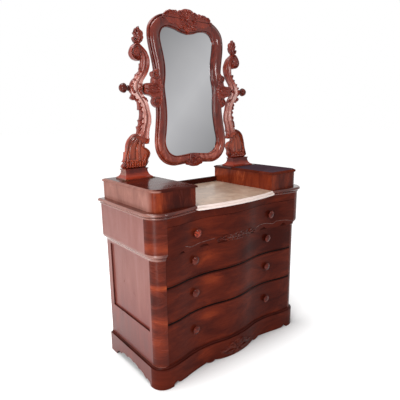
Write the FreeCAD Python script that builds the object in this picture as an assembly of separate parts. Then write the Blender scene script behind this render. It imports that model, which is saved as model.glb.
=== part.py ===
import FreeCAD, Part
import math
import os

# Serpentine-front dresser with two glove boxes, a marble well and a tilting mirror.
# Frame: millimetres, +X right, +Y back, +Z up, origin on the floor under the centre of the whole.
# Plan sizes named depth run forward from the rear plane; an offset is square to the case's
# outline, positive outwards.

V = FreeCAD.Vector
UP = V(0, 0, 1)
RIGHT = V(1, 0, 0)
BACK = V(0, 1, 0)

# Case plan
case_width = 1070
case_depth = 508
corner_radius = 59
wave_depth = 28
glove_box_width = 249
marble_overhang = 55

# Heights of the tiers
base_height = 113
bottom_board_thickness = 11
drawer_opening_heights = [125, 154.5, 183.5, 220.5]
divider_thickness = 12
upper_divider_thickness = 34.5
frieze_rail_height = 53
deck_thickness = 22
box_wall_height = 93.5
box_top_thickness = 14
plinth_block_height = 53.5

# General clearances
cut_over = 5
drawer_gap = 1.5
slide_gap = 0.5
lip_gap = 0.4
shaft_clearance = 0.08

# Base
base_step = 14
base_thickness = 24
base_back_thickness = 20
base_back_lift = 30
base_moulding_height = 9
base_moulding_width = 13
base_moulding_fillet = 2
front_foot_width = 19
front_apron_lift = 24
side_apron_lift = 53
side_foot_front = 71
side_foot_rear = 64

# Case walls
stile_thickness = 22
rear_stile_width = 40
front_stile_width = 19
side_bottom_rail_width = 181
side_top_rail_width = 50
side_panel_recess = 10
side_panel_thickness = 10
back_board_thickness = 10
back_board_inset = 2
back_board_count = 3
divider_width = 60
runner_reach = 73
guide_height = 14

# Frieze tier
frieze_step = 22
frieze_side_thickness = 30
frieze_rail_thickness = 26
deck_board_thickness = 14
frieze_start_drop = 6
transition_height = 39

# Deck, marble and back rail
deck_edge_reach = 40
deck_edge_inner = 30
deck_edge_flat = 24
deck_tip_rise = 10
deck_bead_reach = 5
deck_bead_drop = 10
marble_bow = 32
marble_lip = 12
marble_edge_setback = 13
back_rail_thickness = 18
back_rail_inset = 2
back_rail_height = 55

# Glove boxes
box_front_thickness = 14
box_wall_thickness = 12
box_back_thickness = 12
box_back_inset = 2
box_top_overhang = 8
box_top_edge_height = 8.5
box_top_slope = 12
lid_seam_depth = 176
lid_seam_gap = 1
hinge_length = 40
hinge_end_distance = 32
hinge_leaf_thickness = 1.2
hinge_leaf_height = 10
knuckle_radius = 2.6
knuckle_gap = 0.3
knuckle_clearance = 0.4
hinge_pin_radius = 1.2
hinge_pin_clearance = 0.05

# Mirror stand
mirror_depth = 107
block_half_width = 85
block_half_depth = 57
block_fascia = 6.5
block_neck_half_width = 67
block_neck_half_depth = 28
block_cap_height = 6
block_cap_overhang = 4
standard_thickness = 36
standard_gap = 8.5
standard_width = 205
standard_height = 652
finial_thickness = 32
finial_width = 64
finial_height = 83

# Mirror
rest_tilt = 3.3
mirror_side_gap = 14
frame_half_height = 432
frame_body_front = 8
frame_front = 20
frame_rebate_depth = 2
frame_back = 14
frame_edge_back = 6
frame_back_setback = 10
frame_rim_width = 13
frame_sight_width = 9
rebate_width = 8
glass_thickness = 4
backboard_thickness = 6
frame_side_width = 77
frame_end_width = 58
carving_front = 28
carving_back = 2
crest_shoulder = 90
crest_height = 128
crest_rise = 28.7
bottom_carving_half_width = 98
bottom_carving_lap = 2
bottom_carving_drop = 21.5
ear_overlap = 74
ear_reach = 48
ear_half_height = 108
ear_back = 14

# Mirror pivots
pivot_shaft_radius = 5
pivot_end_gap = 3
socket_length = 35
socket_radius = 8
socket_plate_radius = 13
socket_plate_thickness = 2.5
pivot_collar_gap = 2.8
pivot_knob_length = 55
pivot_knob_radius = 24.5

# Drawers
drawer_front_thickness = 22
drawer_bead_radius = 2.6
drawer_wall_thickness = 12
drawer_bottom_thickness = 8
drawer_bottom_rise = 6
drawer_wall_inset = 9
drawer_rear_depth = 40
drawer_wall_drop = 14
drawer_back_drop = 8
lip_drop = 33
ornament_half_width = 152
ornament_top_rise = 50
ornament_thickness = 8
knob_x = 281
knob_radius = 22.5
knob_length = 20.5
knob_tenon_radius = 7
knob_tenon_length = 14
base_carving_half_width = 124
base_carving_height = 90
base_carving_thickness = 9
base_carving_lift = 3

# Derived places
half = case_width / 2
marble_depth = case_depth + marble_overhang
rear = marble_depth / 2
front = rear - case_depth
crest_x = half - corner_radius
corner_y = front + corner_radius
quarter_wave = crest_x / 4
wave_radius = (quarter_wave ** 2 + (wave_depth / 2) ** 2) / wave_depth
wave_angle = math.degrees(math.asin(quarter_wave / wave_radius))
mirror_y = rear - mirror_depth
front_foot_inner = crest_x - front_foot_width
drawer_wall_outer_x = crest_x - drawer_wall_inset
well_half_width = half - glove_box_width

# Derived levels, from the floor up
bottom_board_top = base_height + bottom_board_thickness
lower_divider_z = bottom_board_top + drawer_opening_heights[3]
middle_divider_z = lower_divider_z + divider_thickness + drawer_opening_heights[2]
upper_divider_z = middle_divider_z + divider_thickness + drawer_opening_heights[1]
upper_divider_top = upper_divider_z + upper_divider_thickness
frieze_rail_bottom = upper_divider_top + drawer_opening_heights[0]
frieze_bottom = upper_divider_top - frieze_start_drop
transition_bottom = frieze_bottom - transition_height
frieze_top = frieze_rail_bottom + frieze_rail_height
deck_top = frieze_top + deck_thickness
deck_tip_z = frieze_top + deck_tip_rise
box_wall_top = deck_top + box_wall_height
box_top = box_wall_top + box_top_thickness
plinth_block_top = box_top + plinth_block_height

# Derived places of the mirror and its stand. The shares follow the outlines further down.
pivot_height_share = 0.65
standard_waist_share = 0.293
standard_bulge_share = 0.655
standard_foot_share = 0.615
standard_head_share = 0.338
frame_top_share = 0.966
opening_top_share = 0.831
opening_foot_share = 0.984
frame_foot_share = 0.985
pivot_height = plinth_block_top + pivot_height_share * standard_height
frame_half_width = well_half_width - mirror_side_gap
opening_half_width = frame_half_width - frame_side_width
opening_half_height = frame_half_height - frame_end_width
crest_half_width = frame_half_width - crest_shoulder
crest_top = frame_top_share * frame_half_height + crest_rise
crest_bottom = crest_top - crest_height
bottom_carving_top = bottom_carving_lap - opening_foot_share * opening_half_height
bottom_carving_bottom = -frame_foot_share * frame_half_height - bottom_carving_drop
ear_inner_x = frame_half_width - ear_overlap
ear_outer_x = frame_half_width + ear_reach
socket_end_x = ear_outer_x - socket_length
pivot_shaft_end_x = socket_end_x + pivot_end_gap
waist_x = ear_outer_x + socket_plate_thickness + standard_gap
standard_inner_x = waist_x - standard_waist_share * standard_width
block_centre_x = standard_inner_x + standard_foot_share * standard_width
finial_foot_x = standard_inner_x + standard_head_share * standard_width
pivot_collar_x = standard_inner_x + standard_bulge_share * standard_width + pivot_collar_gap
pivot_knob_end_x = pivot_collar_x + pivot_knob_length


def box(x0, x1, y0, y1, z0, z1):
    """A block between two corners."""
    return Part.makeBox(x1 - x0, y1 - y0, z1 - z0, V(x0, y0, z0))


def mirrored(shape):
    """The same piece on the other side of the dresser."""
    return shape.mirror(V(0, 0, 0), RIGHT)


def joined(shapes):
    """One solid from pieces that meet face to face."""
    return shapes[0].multiFuse(shapes[1:]).removeSplitter()


def export(name, *solids):
    """Write one node as a STEP file."""
    shape = solids[0] if len(solids) == 1 else Part.makeCompound(list(solids))
    shape.exportStep("parts/" + name + ".step")


def section_face(steps, place):
    """A face from steps (u, v), or (mid u, mid v, u, v) where the edge to that point is an arc."""
    edges = []
    start = steps[0]
    for step in steps[1:] + steps[:1]:
        a = place(*start[-2:])
        b = place(*step[-2:])
        if len(step) == 4:
            edges.append(Part.Arc(a, place(*step[:2]), b).toShape())
        else:
            edges.append(Part.LineSegment(a, b).toShape())
        start = step
    return Part.Face(Part.Wire(edges))


def scaled_steps(shares, u0, u_size, v0, v_size):
    """Outline steps in real sizes from a table of shares."""
    steps = []
    for share in shares:
        step = []
        for i in range(0, len(share), 2):
            step.append(u0 + share[i] * u_size)
            step.append(v0 + share[i + 1] * v_size)
        steps.append(tuple(step))
    return steps


def dome(radius, base, top):
    """The arc step over a round end; its centre is on the axis."""
    rise = top - base
    ball = (radius ** 2 + rise ** 2) / (2 * rise)
    lean = math.acos(1 - rise / ball) / 2
    return ball * math.sin(lean), top - ball * (1 - math.cos(lean)), 0, top


# The case outline: straight sides, quarter round corners, and a serpentine front of equal arcs.
# Each arc: centre x, centre y, radius, start and end angle, and 1 for a swell or -1 for a hollow.

swell_y = front + wave_radius
hollow_y = front + wave_depth - wave_radius
front_arcs = [
    (-crest_x, swell_y, wave_radius, 0, wave_angle, 1),
    (-crest_x / 2, hollow_y, wave_radius, wave_angle, -wave_angle, -1),
    (0, swell_y, wave_radius, -wave_angle, wave_angle, 1),
    (crest_x / 2, hollow_y, wave_radius, wave_angle, -wave_angle, -1),
    (crest_x, swell_y, wave_radius, -wave_angle, 0, 1),
]
left_corner = (-crest_x, corner_y, corner_radius, -90, 0, 1)
right_corner = (crest_x, corner_y, corner_radius, 0, 90, 1)


def turn(section, arc):
    """A moulding round one arc of the outline."""
    x, y, radius, start, end, bow = arc
    centre = V(x, y, 0)
    face = section_face(section, lambda d, z: V(x, y - bow * (radius + bow * d), z))
    face.rotate(centre, UP, start)
    return face.revolve(centre, UP, end - start)


def arc_edge(arc, offset, z):
    """One arc of the outline, drawn at an offset."""
    x, y, radius, start, end, bow = arc
    spoke = V(0, -bow * (radius + bow * offset), 0)
    points = []
    for angle in (start, (start + end) / 2, end):
        points.append(V(x, y, z) + FreeCAD.Rotation(UP, angle).multVec(spoke))
    return Part.Arc(*points).toShape()


def front_run(section):
    """A moulding along the serpentine front, between the crests at the corners."""
    return [turn(section, arc) for arc in front_arcs]


def corner_run(section):
    """A moulding round the right front corner."""
    return turn(section, right_corner)


def side_run(section):
    """A moulding along the right side, from the corner to the rear plane."""
    face = section_face(section, lambda d, z: V(half + d, corner_y, z))
    return face.extrude(BACK * (rear - corner_y))


def around_front(section):
    """A moulding round both corners and the front."""
    corner = corner_run(section)
    return joined([mirrored(corner)] + front_run(section) + [corner])


def around_case(section):
    """A moulding round the sides, the corners and the front."""
    side = side_run(section)
    corner = corner_run(section)
    return joined([mirrored(side), mirrored(corner)] + front_run(section) + [corner, side])


def front_y(x, offset):
    """Where the serpentine front lies at x."""
    x = abs(x)
    lean = quarter_wave / wave_radius
    if x < quarter_wave + offset * lean:
        return front + wave_radius - math.sqrt((wave_radius + offset) ** 2 - x ** 2)
    if x < crest_x - quarter_wave - offset * lean:
        reach = math.sqrt((wave_radius - offset) ** 2 - (x - crest_x / 2) ** 2)
        return front + wave_depth - wave_radius + reach
    return front + wave_radius - math.sqrt((wave_radius + offset) ** 2 - (x - crest_x) ** 2)


def slab(inner, outer, z0, z1):
    """The section of a plain board between two offsets."""
    return [(outer, z0), (outer, z1), (inner, z1), (inner, z0)]


def front_board(section, half_width):
    """A board along the serpentine front, cut square at both ends."""
    whole = joined(front_run(section))
    bounds = whole.BoundBox
    limit = box(-half_width, half_width, bounds.YMin - cut_over, bounds.YMax + cut_over,
                bounds.ZMin - cut_over, bounds.ZMax + cut_over)
    return whole.common(limit)


def plan_block(offset, z0, z1):
    """The whole case plan at one offset, as a block."""
    edges = [arc_edge(arc, offset, z0) for arc in [left_corner] + front_arcs + [right_corner]]
    x = half + offset
    corners = [V(x, corner_y, z0), V(x, rear, z0), V(-x, rear, z0), V(-x, corner_y, z0)]
    for start, end in zip(corners, corners[1:]):
        edges.append(Part.LineSegment(start, end).toShape())
    return Part.Face(Part.Wire(edges)).extrude(UP * (z1 - z0))


def front_cutter(steps, depth_from, depth_to):
    """A tool cut straight through the front, outlined in x and z for the right half."""
    right = section_face(steps, lambda x, z: V(x, rear - depth_from, z))
    right = right.extrude(BACK * (depth_from - depth_to))
    return joined([right, mirrored(right)])


# Base

front_apron_shares = [
    (0, 0.06), (0.12, 0.07, 0.22, 0.15), (0.29, 0.32, 0.34, 0.58), (0.365, 0.22, 0.40, 0.14),
    (0.435, 0.30, 0.465, 0.64), (0.53, 0.42, 0.60, 0.30), (0.74, 0.22, 0.87, 0.30),
    (0.925, 0.52, 0.945, 0.95), (0.962, 0.90), (0.99, 0.58, 1.0, 0),
]
side_apron_shares = [
    (0, 0), (0.03, 0.36, 0.075, 0.49), (0.127, 0.34), (0.20, 0.66, 0.318, 0.70),
    (0.40, 0.92, 0.489, 0.85), (0.575, 1.0, 0.664, 0.80), (0.74, 0.89, 0.86, 0.53),
    (0.91, 0.62, 0.955, 0.45), (0.985, 0.27, 1.0, 0),
]


def base_front():
    """Front plinth with its rounded corners, feet and shaped apron."""
    body = around_front(slab(base_step - base_thickness, base_step, 0, base_height))
    steps = scaled_steps(front_apron_shares, 0, front_foot_inner, 0, front_apron_lift)
    steps = [(0, -cut_over)] + steps + [(front_foot_inner, -cut_over)]
    reach = case_depth + base_step + cut_over
    return body.cut(front_cutter(steps, reach, case_depth - corner_radius))


def base_side():
    """Right plinth side with its scalloped lower edge."""
    outer = half + base_step
    body = box(outer - base_thickness, outer, corner_y, rear, 0, base_height)
    start = front + side_foot_front
    length = rear - side_foot_rear - start
    steps = scaled_steps(side_apron_shares, start, length, 0, side_apron_lift)
    steps = [(start, -cut_over)] + steps + [(start + length, -cut_over)]
    face = section_face(steps, lambda y, z: V(outer - base_thickness - cut_over, y, z))
    return body.cut(face.extrude(RIGHT * (base_thickness + 2 * cut_over)))


def base_moulding():
    """Cove on top of the plinth, against the case."""
    top = base_height + base_moulding_height
    fillet = base_moulding_fillet
    section = [
        (0, base_height), (base_moulding_width, base_height),
        (base_moulding_width, base_height + fillet),
        (base_moulding_width * 0.38, base_height + base_moulding_height * 0.46, fillet, top),
        (0, top),
    ]
    return around_case(section)


carving_shares = [
    (0, 0), (0.14, 0.03, 0.26, 0.13), (0.40, 0.08, 0.52, 0.20), (0.66, 0.18, 0.74, 0.34),
    (0.92, 0.36, 1.0, 0.52), (0.90, 0.62, 0.78, 0.60), (0.70, 0.80, 0.54, 0.74),
    (0.44, 0.94, 0.28, 0.84), (0.16, 1.0, 0, 1.0),
]


def front_carving(half_width, bottom, height, inner, outer):
    """A flat leaf ornament that follows the front."""
    band = front_board(slab(inner, outer, bottom - cut_over, bottom + height + cut_over),
                       half_width + cut_over)
    steps = scaled_steps(carving_shares, 0, half_width, bottom, height)
    return band.common(front_cutter(steps, case_depth + outer + cut_over,
                                    case_depth - corner_radius))


def make_base():
    export("base_front", base_front())
    side = base_side()
    export("base_side_right", side)
    export("base_side_left", mirrored(side))
    inner = half + base_step - base_thickness
    export("base_back", box(-inner, inner, rear - base_back_thickness, rear,
                            base_back_lift, base_height))
    export("base_moulding", base_moulding())
    export("base_carving", front_carving(base_carving_half_width, base_carving_lift,
                                         base_carving_height, base_step,
                                         base_step + base_carving_thickness))


# Lower case

def side_frame():
    """Right side frame: rear and front stile, top and bottom rail."""
    x0 = half - stile_thickness
    stile_front = rear - rear_stile_width
    panel_front = corner_y + front_stile_width
    z0 = bottom_board_top
    return [
        box(x0, half, stile_front, rear, z0, frieze_bottom),
        box(x0, half, corner_y, panel_front, z0, frieze_bottom),
        box(x0, half, panel_front, stile_front, z0, z0 + side_bottom_rail_width),
        box(x0, half, panel_front, stile_front, frieze_bottom - side_top_rail_width,
            frieze_bottom),
    ]


def side_panel():
    """Right side panel, set back in its frame."""
    x1 = half - side_panel_recess
    return box(x1 - side_panel_thickness, x1, corner_y + front_stile_width,
               rear - rear_stile_width, bottom_board_top + side_bottom_rail_width,
               frieze_bottom - side_top_rail_width)


def quarter_post(radius, z0, z1):
    """A right corner post, quarter round on its outer face."""
    post = Part.makeCylinder(radius, z1 - z0, V(crest_x, corner_y, z0))
    return post.common(box(crest_x, half + radius, corner_y - radius, corner_y, z0, z1))


def divider(z0, z1):
    """A rail between two drawers, from post to post."""
    return front_board(slab(-divider_width, 0, z0, z1), crest_x)


def runner(rail):
    """Right runner behind a divider, flush with its top, with its guide strip."""
    x1 = half - stile_thickness
    y1 = rear - back_board_inset - back_board_thickness
    top = rail.BoundBox.ZMax
    board = box(x1 - runner_reach, x1, corner_y, y1, top - divider_thickness, top).cut(rail)
    return [board, guide(top)]


def guide(z0):
    """Right guide strip beside a drawer."""
    y1 = rear - back_board_inset - back_board_thickness
    return box(drawer_wall_outer_x + drawer_gap, half - stile_thickness, corner_y, y1,
               z0, z0 + guide_height)


def back_boards():
    """Upright boards behind the drawers and one board behind the frieze."""
    y1 = rear - back_board_inset
    y0 = y1 - back_board_thickness
    x0 = half - stile_thickness
    width = 2 * x0 / back_board_count
    boards = []
    for i in range(back_board_count):
        left = -x0 + i * width
        boards.append(box(left, left + width, y0, y1, bottom_board_top, frieze_bottom))
    inner = half + frieze_step - frieze_side_thickness
    boards.append(box(-inner, inner, y0, y1, frieze_bottom, frieze_top))
    return boards


def make_lower_case():
    export("bottom_board", plan_block(0, base_height, bottom_board_top))
    post = quarter_post(corner_radius, bottom_board_top, frieze_bottom)
    export("corner_post_right", post)
    export("corner_post_left", mirrored(post))
    frame = side_frame()
    export("side_frame_right", *frame)
    export("side_frame_left", *[mirrored(piece) for piece in frame])
    export("side_panels", side_panel(), mirrored(side_panel()))
    export("back_boards", *back_boards())
    rails = [divider(lower_divider_z, lower_divider_z + divider_thickness),
             divider(middle_divider_z, middle_divider_z + divider_thickness),
             divider(upper_divider_z, upper_divider_top)]
    export("drawer_dividers", *rails)
    supports = [guide(bottom_board_top)]
    for rail in rails:
        supports += runner(rail)
    export("drawer_runners", *supports, *[mirrored(piece) for piece in supports])


# Frieze tier

transition_shares = [
    (0, 0), (0.16, 0.24, 0.42, 0.42), (0.72, 0.57, 0.82, 0.80), (1.0, 0.80),
    (1.0, 1.0), (0, 1.0),
]


def make_frieze():
    side = box(half + frieze_step - frieze_side_thickness, half + frieze_step,
               corner_y, rear, frieze_bottom, frieze_top)
    export("frieze_side_right", side)
    export("frieze_side_left", mirrored(side))
    post = quarter_post(corner_radius + frieze_step, frieze_bottom, frieze_top)
    export("frieze_posts", post, mirrored(post))
    rail = slab(frieze_step - frieze_rail_thickness, frieze_step, frieze_rail_bottom, frieze_top)
    export("frieze_rail", front_board(rail, crest_x))
    section = scaled_steps(transition_shares, 0, frieze_step, transition_bottom,
                           frieze_bottom - transition_bottom)
    moulding = joined([corner_run(section), side_run(section)])
    export("transition_moulding", moulding, mirrored(moulding))


# Deck, marble and back rail

def deck_board():
    """Board under the marble, between the frieze posts."""
    z0 = frieze_top - deck_board_thickness
    inner = half + frieze_step - frieze_side_thickness
    back = rear - back_board_inset - back_board_thickness
    board = plan_block(frieze_step - frieze_rail_thickness, z0, frieze_top)
    board = board.common(box(-inner, inner, front - frieze_step, back, z0, frieze_top))
    notch = box(crest_x, half, front - frieze_step, corner_y, z0, frieze_top)
    return board.cut(notch).cut(mirrored(notch))


def deck_moulding():
    """Right moulded deck edge, along the side, the corner and the front up to the marble."""
    nose = deck_edge_reach - deck_edge_flat
    cove = frieze_step + deck_bead_reach
    under = deck_tip_z - frieze_top
    section = [
        (-deck_edge_inner, frieze_top), (frieze_step, frieze_top),
        (frieze_step, frieze_top - deck_bead_drop),
        (cove, frieze_top - deck_bead_drop / 2, frieze_step + deck_bead_reach / 2, frieze_top),
        (deck_edge_reach - nose / 2, frieze_top + under * 0.35, deck_edge_reach, deck_tip_z),
        (deck_edge_reach - nose * 0.3, deck_top - under * 0.22, deck_edge_flat, deck_top),
        (-deck_edge_inner, deck_top),
    ]
    runs = front_run(section)[3:] + [corner_run(section), side_run(section)]
    whole = joined(runs)
    bounds = whole.BoundBox
    return whole.common(box(well_half_width, bounds.XMax, bounds.YMin, bounds.YMax,
                            bounds.ZMin, bounds.ZMax))


def box_floor():
    """Right board inside the deck moulding, under the glove box."""
    plan = plan_block(-deck_edge_inner, frieze_top, deck_top)
    return plan.common(box(well_half_width, half, front, rear, frieze_top, deck_top))


def marble():
    """Marble slab: straight between the boxes, with a moulded bow front."""
    radius = (well_half_width ** 2 + marble_bow ** 2) / (2 * marble_bow)
    centre = V(0, rear - marble_depth + radius, 0)
    lip_top = frieze_top + marble_lip
    edge = marble_edge_setback
    rise = deck_top - lip_top
    section = [
        (-marble_depth, frieze_top), (0, frieze_top), (0, lip_top - marble_lip * 0.25),
        (-edge * 0.08, lip_top - marble_lip * 0.08, -edge * 0.28, lip_top),
        (-edge * 0.64, lip_top + rise * 0.28, -edge * 0.84, deck_top - rise * 0.2),
        (-edge, deck_top), (-marble_depth, deck_top),
    ]
    face = section_face(section, lambda d, z: V(0, centre.y - radius - d, z))
    angle = math.degrees(math.asin(well_half_width / (radius - marble_depth))) + cut_over
    face.rotate(centre, UP, -angle)
    whole = face.revolve(centre, UP, 2 * angle)
    back = rear - back_rail_inset - back_rail_thickness
    return whole.common(box(-well_half_width, well_half_width, rear - marble_depth, back,
                            frieze_top, deck_top))


def make_deck():
    export("deck_board", deck_board())
    edge = deck_moulding()
    export("deck_moulding", edge, mirrored(edge))
    export("marble_top", marble())
    y1 = rear - back_rail_inset
    export("back_rail", box(-well_half_width, well_half_width, y1 - back_rail_thickness, y1,
                            frieze_top, frieze_top + back_rail_height))


# Glove boxes, made for the right side

def box_front():
    """Front and rounded outer corner of a glove box."""
    height = box_wall_top - deck_top
    board = box(well_half_width, crest_x, front, front + box_front_thickness,
                deck_top, box_wall_top)
    foot = V(crest_x, corner_y, deck_top)
    ring = Part.makeCylinder(corner_radius, height, foot)
    ring = ring.cut(Part.makeCylinder(corner_radius - box_front_thickness, height, foot))
    ring = ring.common(box(crest_x, half, front, corner_y, deck_top, box_wall_top))
    return joined([board, ring])


def box_walls():
    """Outer wall, inner wall and back of a glove box."""
    y1 = rear - box_back_inset
    inner = well_half_width + box_wall_thickness
    outer = half - box_front_thickness
    return [
        box(outer, half, corner_y, y1, deck_top, box_wall_top),
        box(well_half_width, inner, front + box_front_thickness, y1, deck_top, box_wall_top),
        box(inner, outer, y1 - box_back_thickness, y1, deck_top, box_wall_top),
    ]


def top_wire(inset, z):
    """Outline of a glove box top, drawn in from its widest."""
    x0 = well_half_width - box_top_overhang + inset
    x1 = half + box_top_overhang - inset
    y0 = front - box_top_overhang + inset
    y1 = rear - box_back_inset - inset
    radius = corner_radius + box_top_overhang - inset
    diagonal = radius * math.sqrt(0.5)
    edges = [
        Part.LineSegment(V(x0, y1, z), V(x0, y0, z)).toShape(),
        Part.LineSegment(V(x0, y0, z), V(crest_x, y0, z)).toShape(),
        Part.Arc(V(crest_x, y0, z), V(crest_x + diagonal, corner_y - diagonal, z),
                 V(x1, corner_y, z)).toShape(),
        Part.LineSegment(V(x1, corner_y, z), V(x1, y1, z)).toShape(),
        Part.LineSegment(V(x1, y1, z), V(x0, y1, z)).toShape(),
    ]
    return Part.Wire(edges)


def whole_box_top():
    """A glove box top in one piece, before the lid is sawn off."""
    edge_top = box_wall_top + box_top_edge_height
    slab_part = Part.Face(top_wire(0, box_wall_top)).extrude(UP * box_top_edge_height)
    slope = Part.makeLoft([top_wire(0, edge_top), top_wire(box_top_slope, box_top)], True, True)
    return joined([slab_part, slope])


hinge_y = rear - lid_seam_depth - lid_seam_gap / 2


def hinge_starts():
    """Where the two hinges of the right lid begin along X."""
    left = well_half_width - box_top_overhang + hinge_end_distance
    right = half + box_top_overhang - hinge_end_distance - hinge_length
    return [left, right]


def knuckle(x, length, radius):
    """A cylinder on the lid's hinge line."""
    return Part.makeCylinder(radius, length, V(x, hinge_y, box_top), RIGHT)


def leaf(x, side, knuckles):
    """One hinge leaf with its knuckles; side is 1 behind the seam and -1 on the lid."""
    seat = hinge_y + side * lid_seam_gap / 2
    y0 = min(seat, seat + side * hinge_leaf_thickness)
    y1 = max(seat, seat + side * hinge_leaf_thickness)
    z0 = box_top - hinge_leaf_height
    low_top = box_top - knuckle_radius - knuckle_clearance
    pieces = [box(x, x + hinge_length, y0, y1, z0, low_top)]
    for start, length in knuckles:
        tab_y0 = min(hinge_y, y0)
        tab_y1 = max(hinge_y, y1)
        pieces.append(box(start, start + length, tab_y0, tab_y1, low_top, box_top))
        pieces.append(knuckle(start, length, knuckle_radius))
    return joined(pieces)


def hinge_pair(x):
    """The fixed half with its pin, and the lid half."""
    third = hinge_length / 3
    ends = [(x, third - knuckle_gap), (x + 2 * third + knuckle_gap, third - knuckle_gap)]
    fixed = leaf(x, 1, ends)
    fixed = joined([fixed, knuckle(x, hinge_length, hinge_pin_radius)])
    moving = leaf(x, -1, [(x + third, third)])
    bore = knuckle(x, hinge_length, hinge_pin_radius + hinge_pin_clearance)
    return fixed, moving.cut(bore)


def hinge_room(x):
    """The recess that one hinge needs in the top."""
    z0 = box_top - hinge_leaf_height
    reach = lid_seam_gap / 2 + hinge_leaf_thickness
    room = box(x, x + hinge_length, hinge_y - reach, hinge_y + reach, z0, box_top + cut_over)
    barrel = knuckle(x - knuckle_gap, hinge_length + 2 * knuckle_gap,
                     knuckle_radius + knuckle_clearance)
    return joined([room, barrel])


def make_boxes():
    floor = box_floor()
    export("box_floors", floor, mirrored(floor))
    face = box_front()
    export("box_front_right", face)
    export("box_front_left", mirrored(face))
    walls = box_walls()
    export("box_walls", *walls, *[mirrored(wall) for wall in walls])
    top = whole_box_top()
    for x in hinge_starts():
        top = top.cut(hinge_room(x))
    bounds = top.BoundBox
    seam = rear - lid_seam_depth
    strip = top.common(box(bounds.XMin, bounds.XMax, seam, bounds.YMax,
                           bounds.ZMin, bounds.ZMax))
    lid = top.common(box(bounds.XMin, bounds.XMax, bounds.YMin, seam - lid_seam_gap,
                         bounds.ZMin, bounds.ZMax))
    export("box_rear_tops", strip, mirrored(strip))
    export("lid_right", lid)
    export("lid_left", mirrored(lid))
    fixed = []
    moving = []
    for x in hinge_starts():
        still, swung = hinge_pair(x)
        fixed.append(still)
        moving.append(swung)
    export("lid_hinges", *fixed, *[mirrored(piece) for piece in fixed])
    export("lid_leaves_right", *moving)
    export("lid_leaves_left", *[mirrored(piece) for piece in moving])


# Mirror stand

def frustum(low, high):
    """A four-sided block that tapers between two levels (half width, half depth, z)."""
    wires = []
    for w, d, z in (low, high):
        corners = [V(block_centre_x - w, mirror_y - d, z), V(block_centre_x + w, mirror_y - d, z),
                   V(block_centre_x + w, mirror_y + d, z), V(block_centre_x - w, mirror_y + d, z)]
        wires.append(Part.makePolygon(corners + corners[:1]))
    return Part.makeLoft(wires, True, True)


block_ogee_shares = [(1.0, 0), (0.58, 0.13), (0.26, 0.34), (0.06, 0.66), (0, 1.0)]


def plinth_block():
    """Right moulded block under a standard."""
    z0 = box_top + block_fascia
    z1 = plinth_block_top - block_cap_height
    levels = [(block_half_width, block_half_depth, box_top)]
    for out, rise in block_ogee_shares:
        levels.append((block_neck_half_width + out * (block_half_width - block_neck_half_width),
                       block_neck_half_depth + out * (block_half_depth - block_neck_half_depth),
                       z0 + rise * (z1 - z0)))
    cap_width = block_neck_half_width + block_cap_overhang
    cap_depth = block_neck_half_depth + block_cap_overhang
    pieces = [frustum(a, b) for a, b in zip(levels, levels[1:])]
    pieces.append(frustum((cap_width, cap_depth, z1), (cap_width, cap_depth, plinth_block_top)))
    return joined(pieces)


# Outline of the right standard as shares of its width and height, in runs that meet at a point
standard_outline_shares = [
    [(0.268, 0), (0.925, 0)],
    [(0.925, 0), (0.978, 0.012), (0.985, 0.024), (0.95, 0.038), (0.905, 0.052)],
    [(0.905, 0.052), (0.95, 0.058)],
    [(0.95, 0.058), (0.908, 0.08), (0.89, 0.11), (0.882, 0.138)],
    [(0.882, 0.138), (0.835, 0.143)],
    [(0.835, 0.143), (0.826, 0.175), (0.805, 0.205), (0.751, 0.238), (0.65, 0.27),
     (0.563, 0.284), (0.478, 0.286)],
    [(0.478, 0.286), (0.457, 0.315), (0.475, 0.342)],
    [(0.475, 0.342), (0.42, 0.352), (0.40, 0.372), (0.425, 0.394)],
    [(0.425, 0.394), (0.375, 0.408), (0.355, 0.44), (0.352, 0.472)],
    [(0.352, 0.472), (0.412, 0.478)],
    [(0.412, 0.478), (0.405, 0.51), (0.42, 0.543), (0.46, 0.556)],
    [(0.46, 0.556), (0.56, 0.556), (0.635, 0.572)],
    [(0.635, 0.572), (0.60, 0.588), (0.572, 0.604)],
    [(0.572, 0.604), (0.622, 0.622), (0.63, 0.65), (0.60, 0.685), (0.551, 0.711),
     (0.455, 0.738)],
    [(0.455, 0.738), (0.432, 0.762)],
    [(0.432, 0.762), (0.37, 0.776), (0.315, 0.795), (0.302, 0.822), (0.302, 0.848)],
    [(0.302, 0.848), (0.225, 0.858), (0.24, 0.876)],
    [(0.24, 0.876), (0.31, 0.868), (0.40, 0.866), (0.52, 0.879), (0.586, 0.91), (0.58, 0.94),
     (0.52, 0.975), (0.43, 1.0)],
    [(0.43, 1.0), (0.33, 1.0)],
    [(0.33, 1.0), (0.255, 0.982), (0.131, 0.949), (0.041, 0.893), (0.026, 0.859),
     (0.053, 0.816), (0.127, 0.764), (0.25, 0.712), (0.272, 0.69), (0.293, 0.65),
     (0.293, 0.622), (0.255, 0.598), (0.19, 0.569), (0.129, 0.529), (0.087, 0.471),
     (0.05, 0.422), (0.054, 0.37), (0.10, 0.332), (0.131, 0.287)],
    [(0.131, 0.287), (0.105, 0.268)],
    [(0.105, 0.268), (0.15, 0.254), (0.142, 0.225), (0.113, 0.198)],
    [(0.113, 0.198), (0.21, 0.193), (0.31, 0.203)],
    [(0.31, 0.203), (0.33, 0.188), (0.318, 0.172)],
    [(0.318, 0.172), (0.25, 0.166), (0.168, 0.151), (0.118, 0.118), (0.145, 0.092)],
    [(0.145, 0.092), (0.178, 0.075), (0.175, 0.055), (0.16, 0.044)],
    [(0.16, 0.044), (0.20, 0.022), (0.268, 0)],
]
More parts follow.
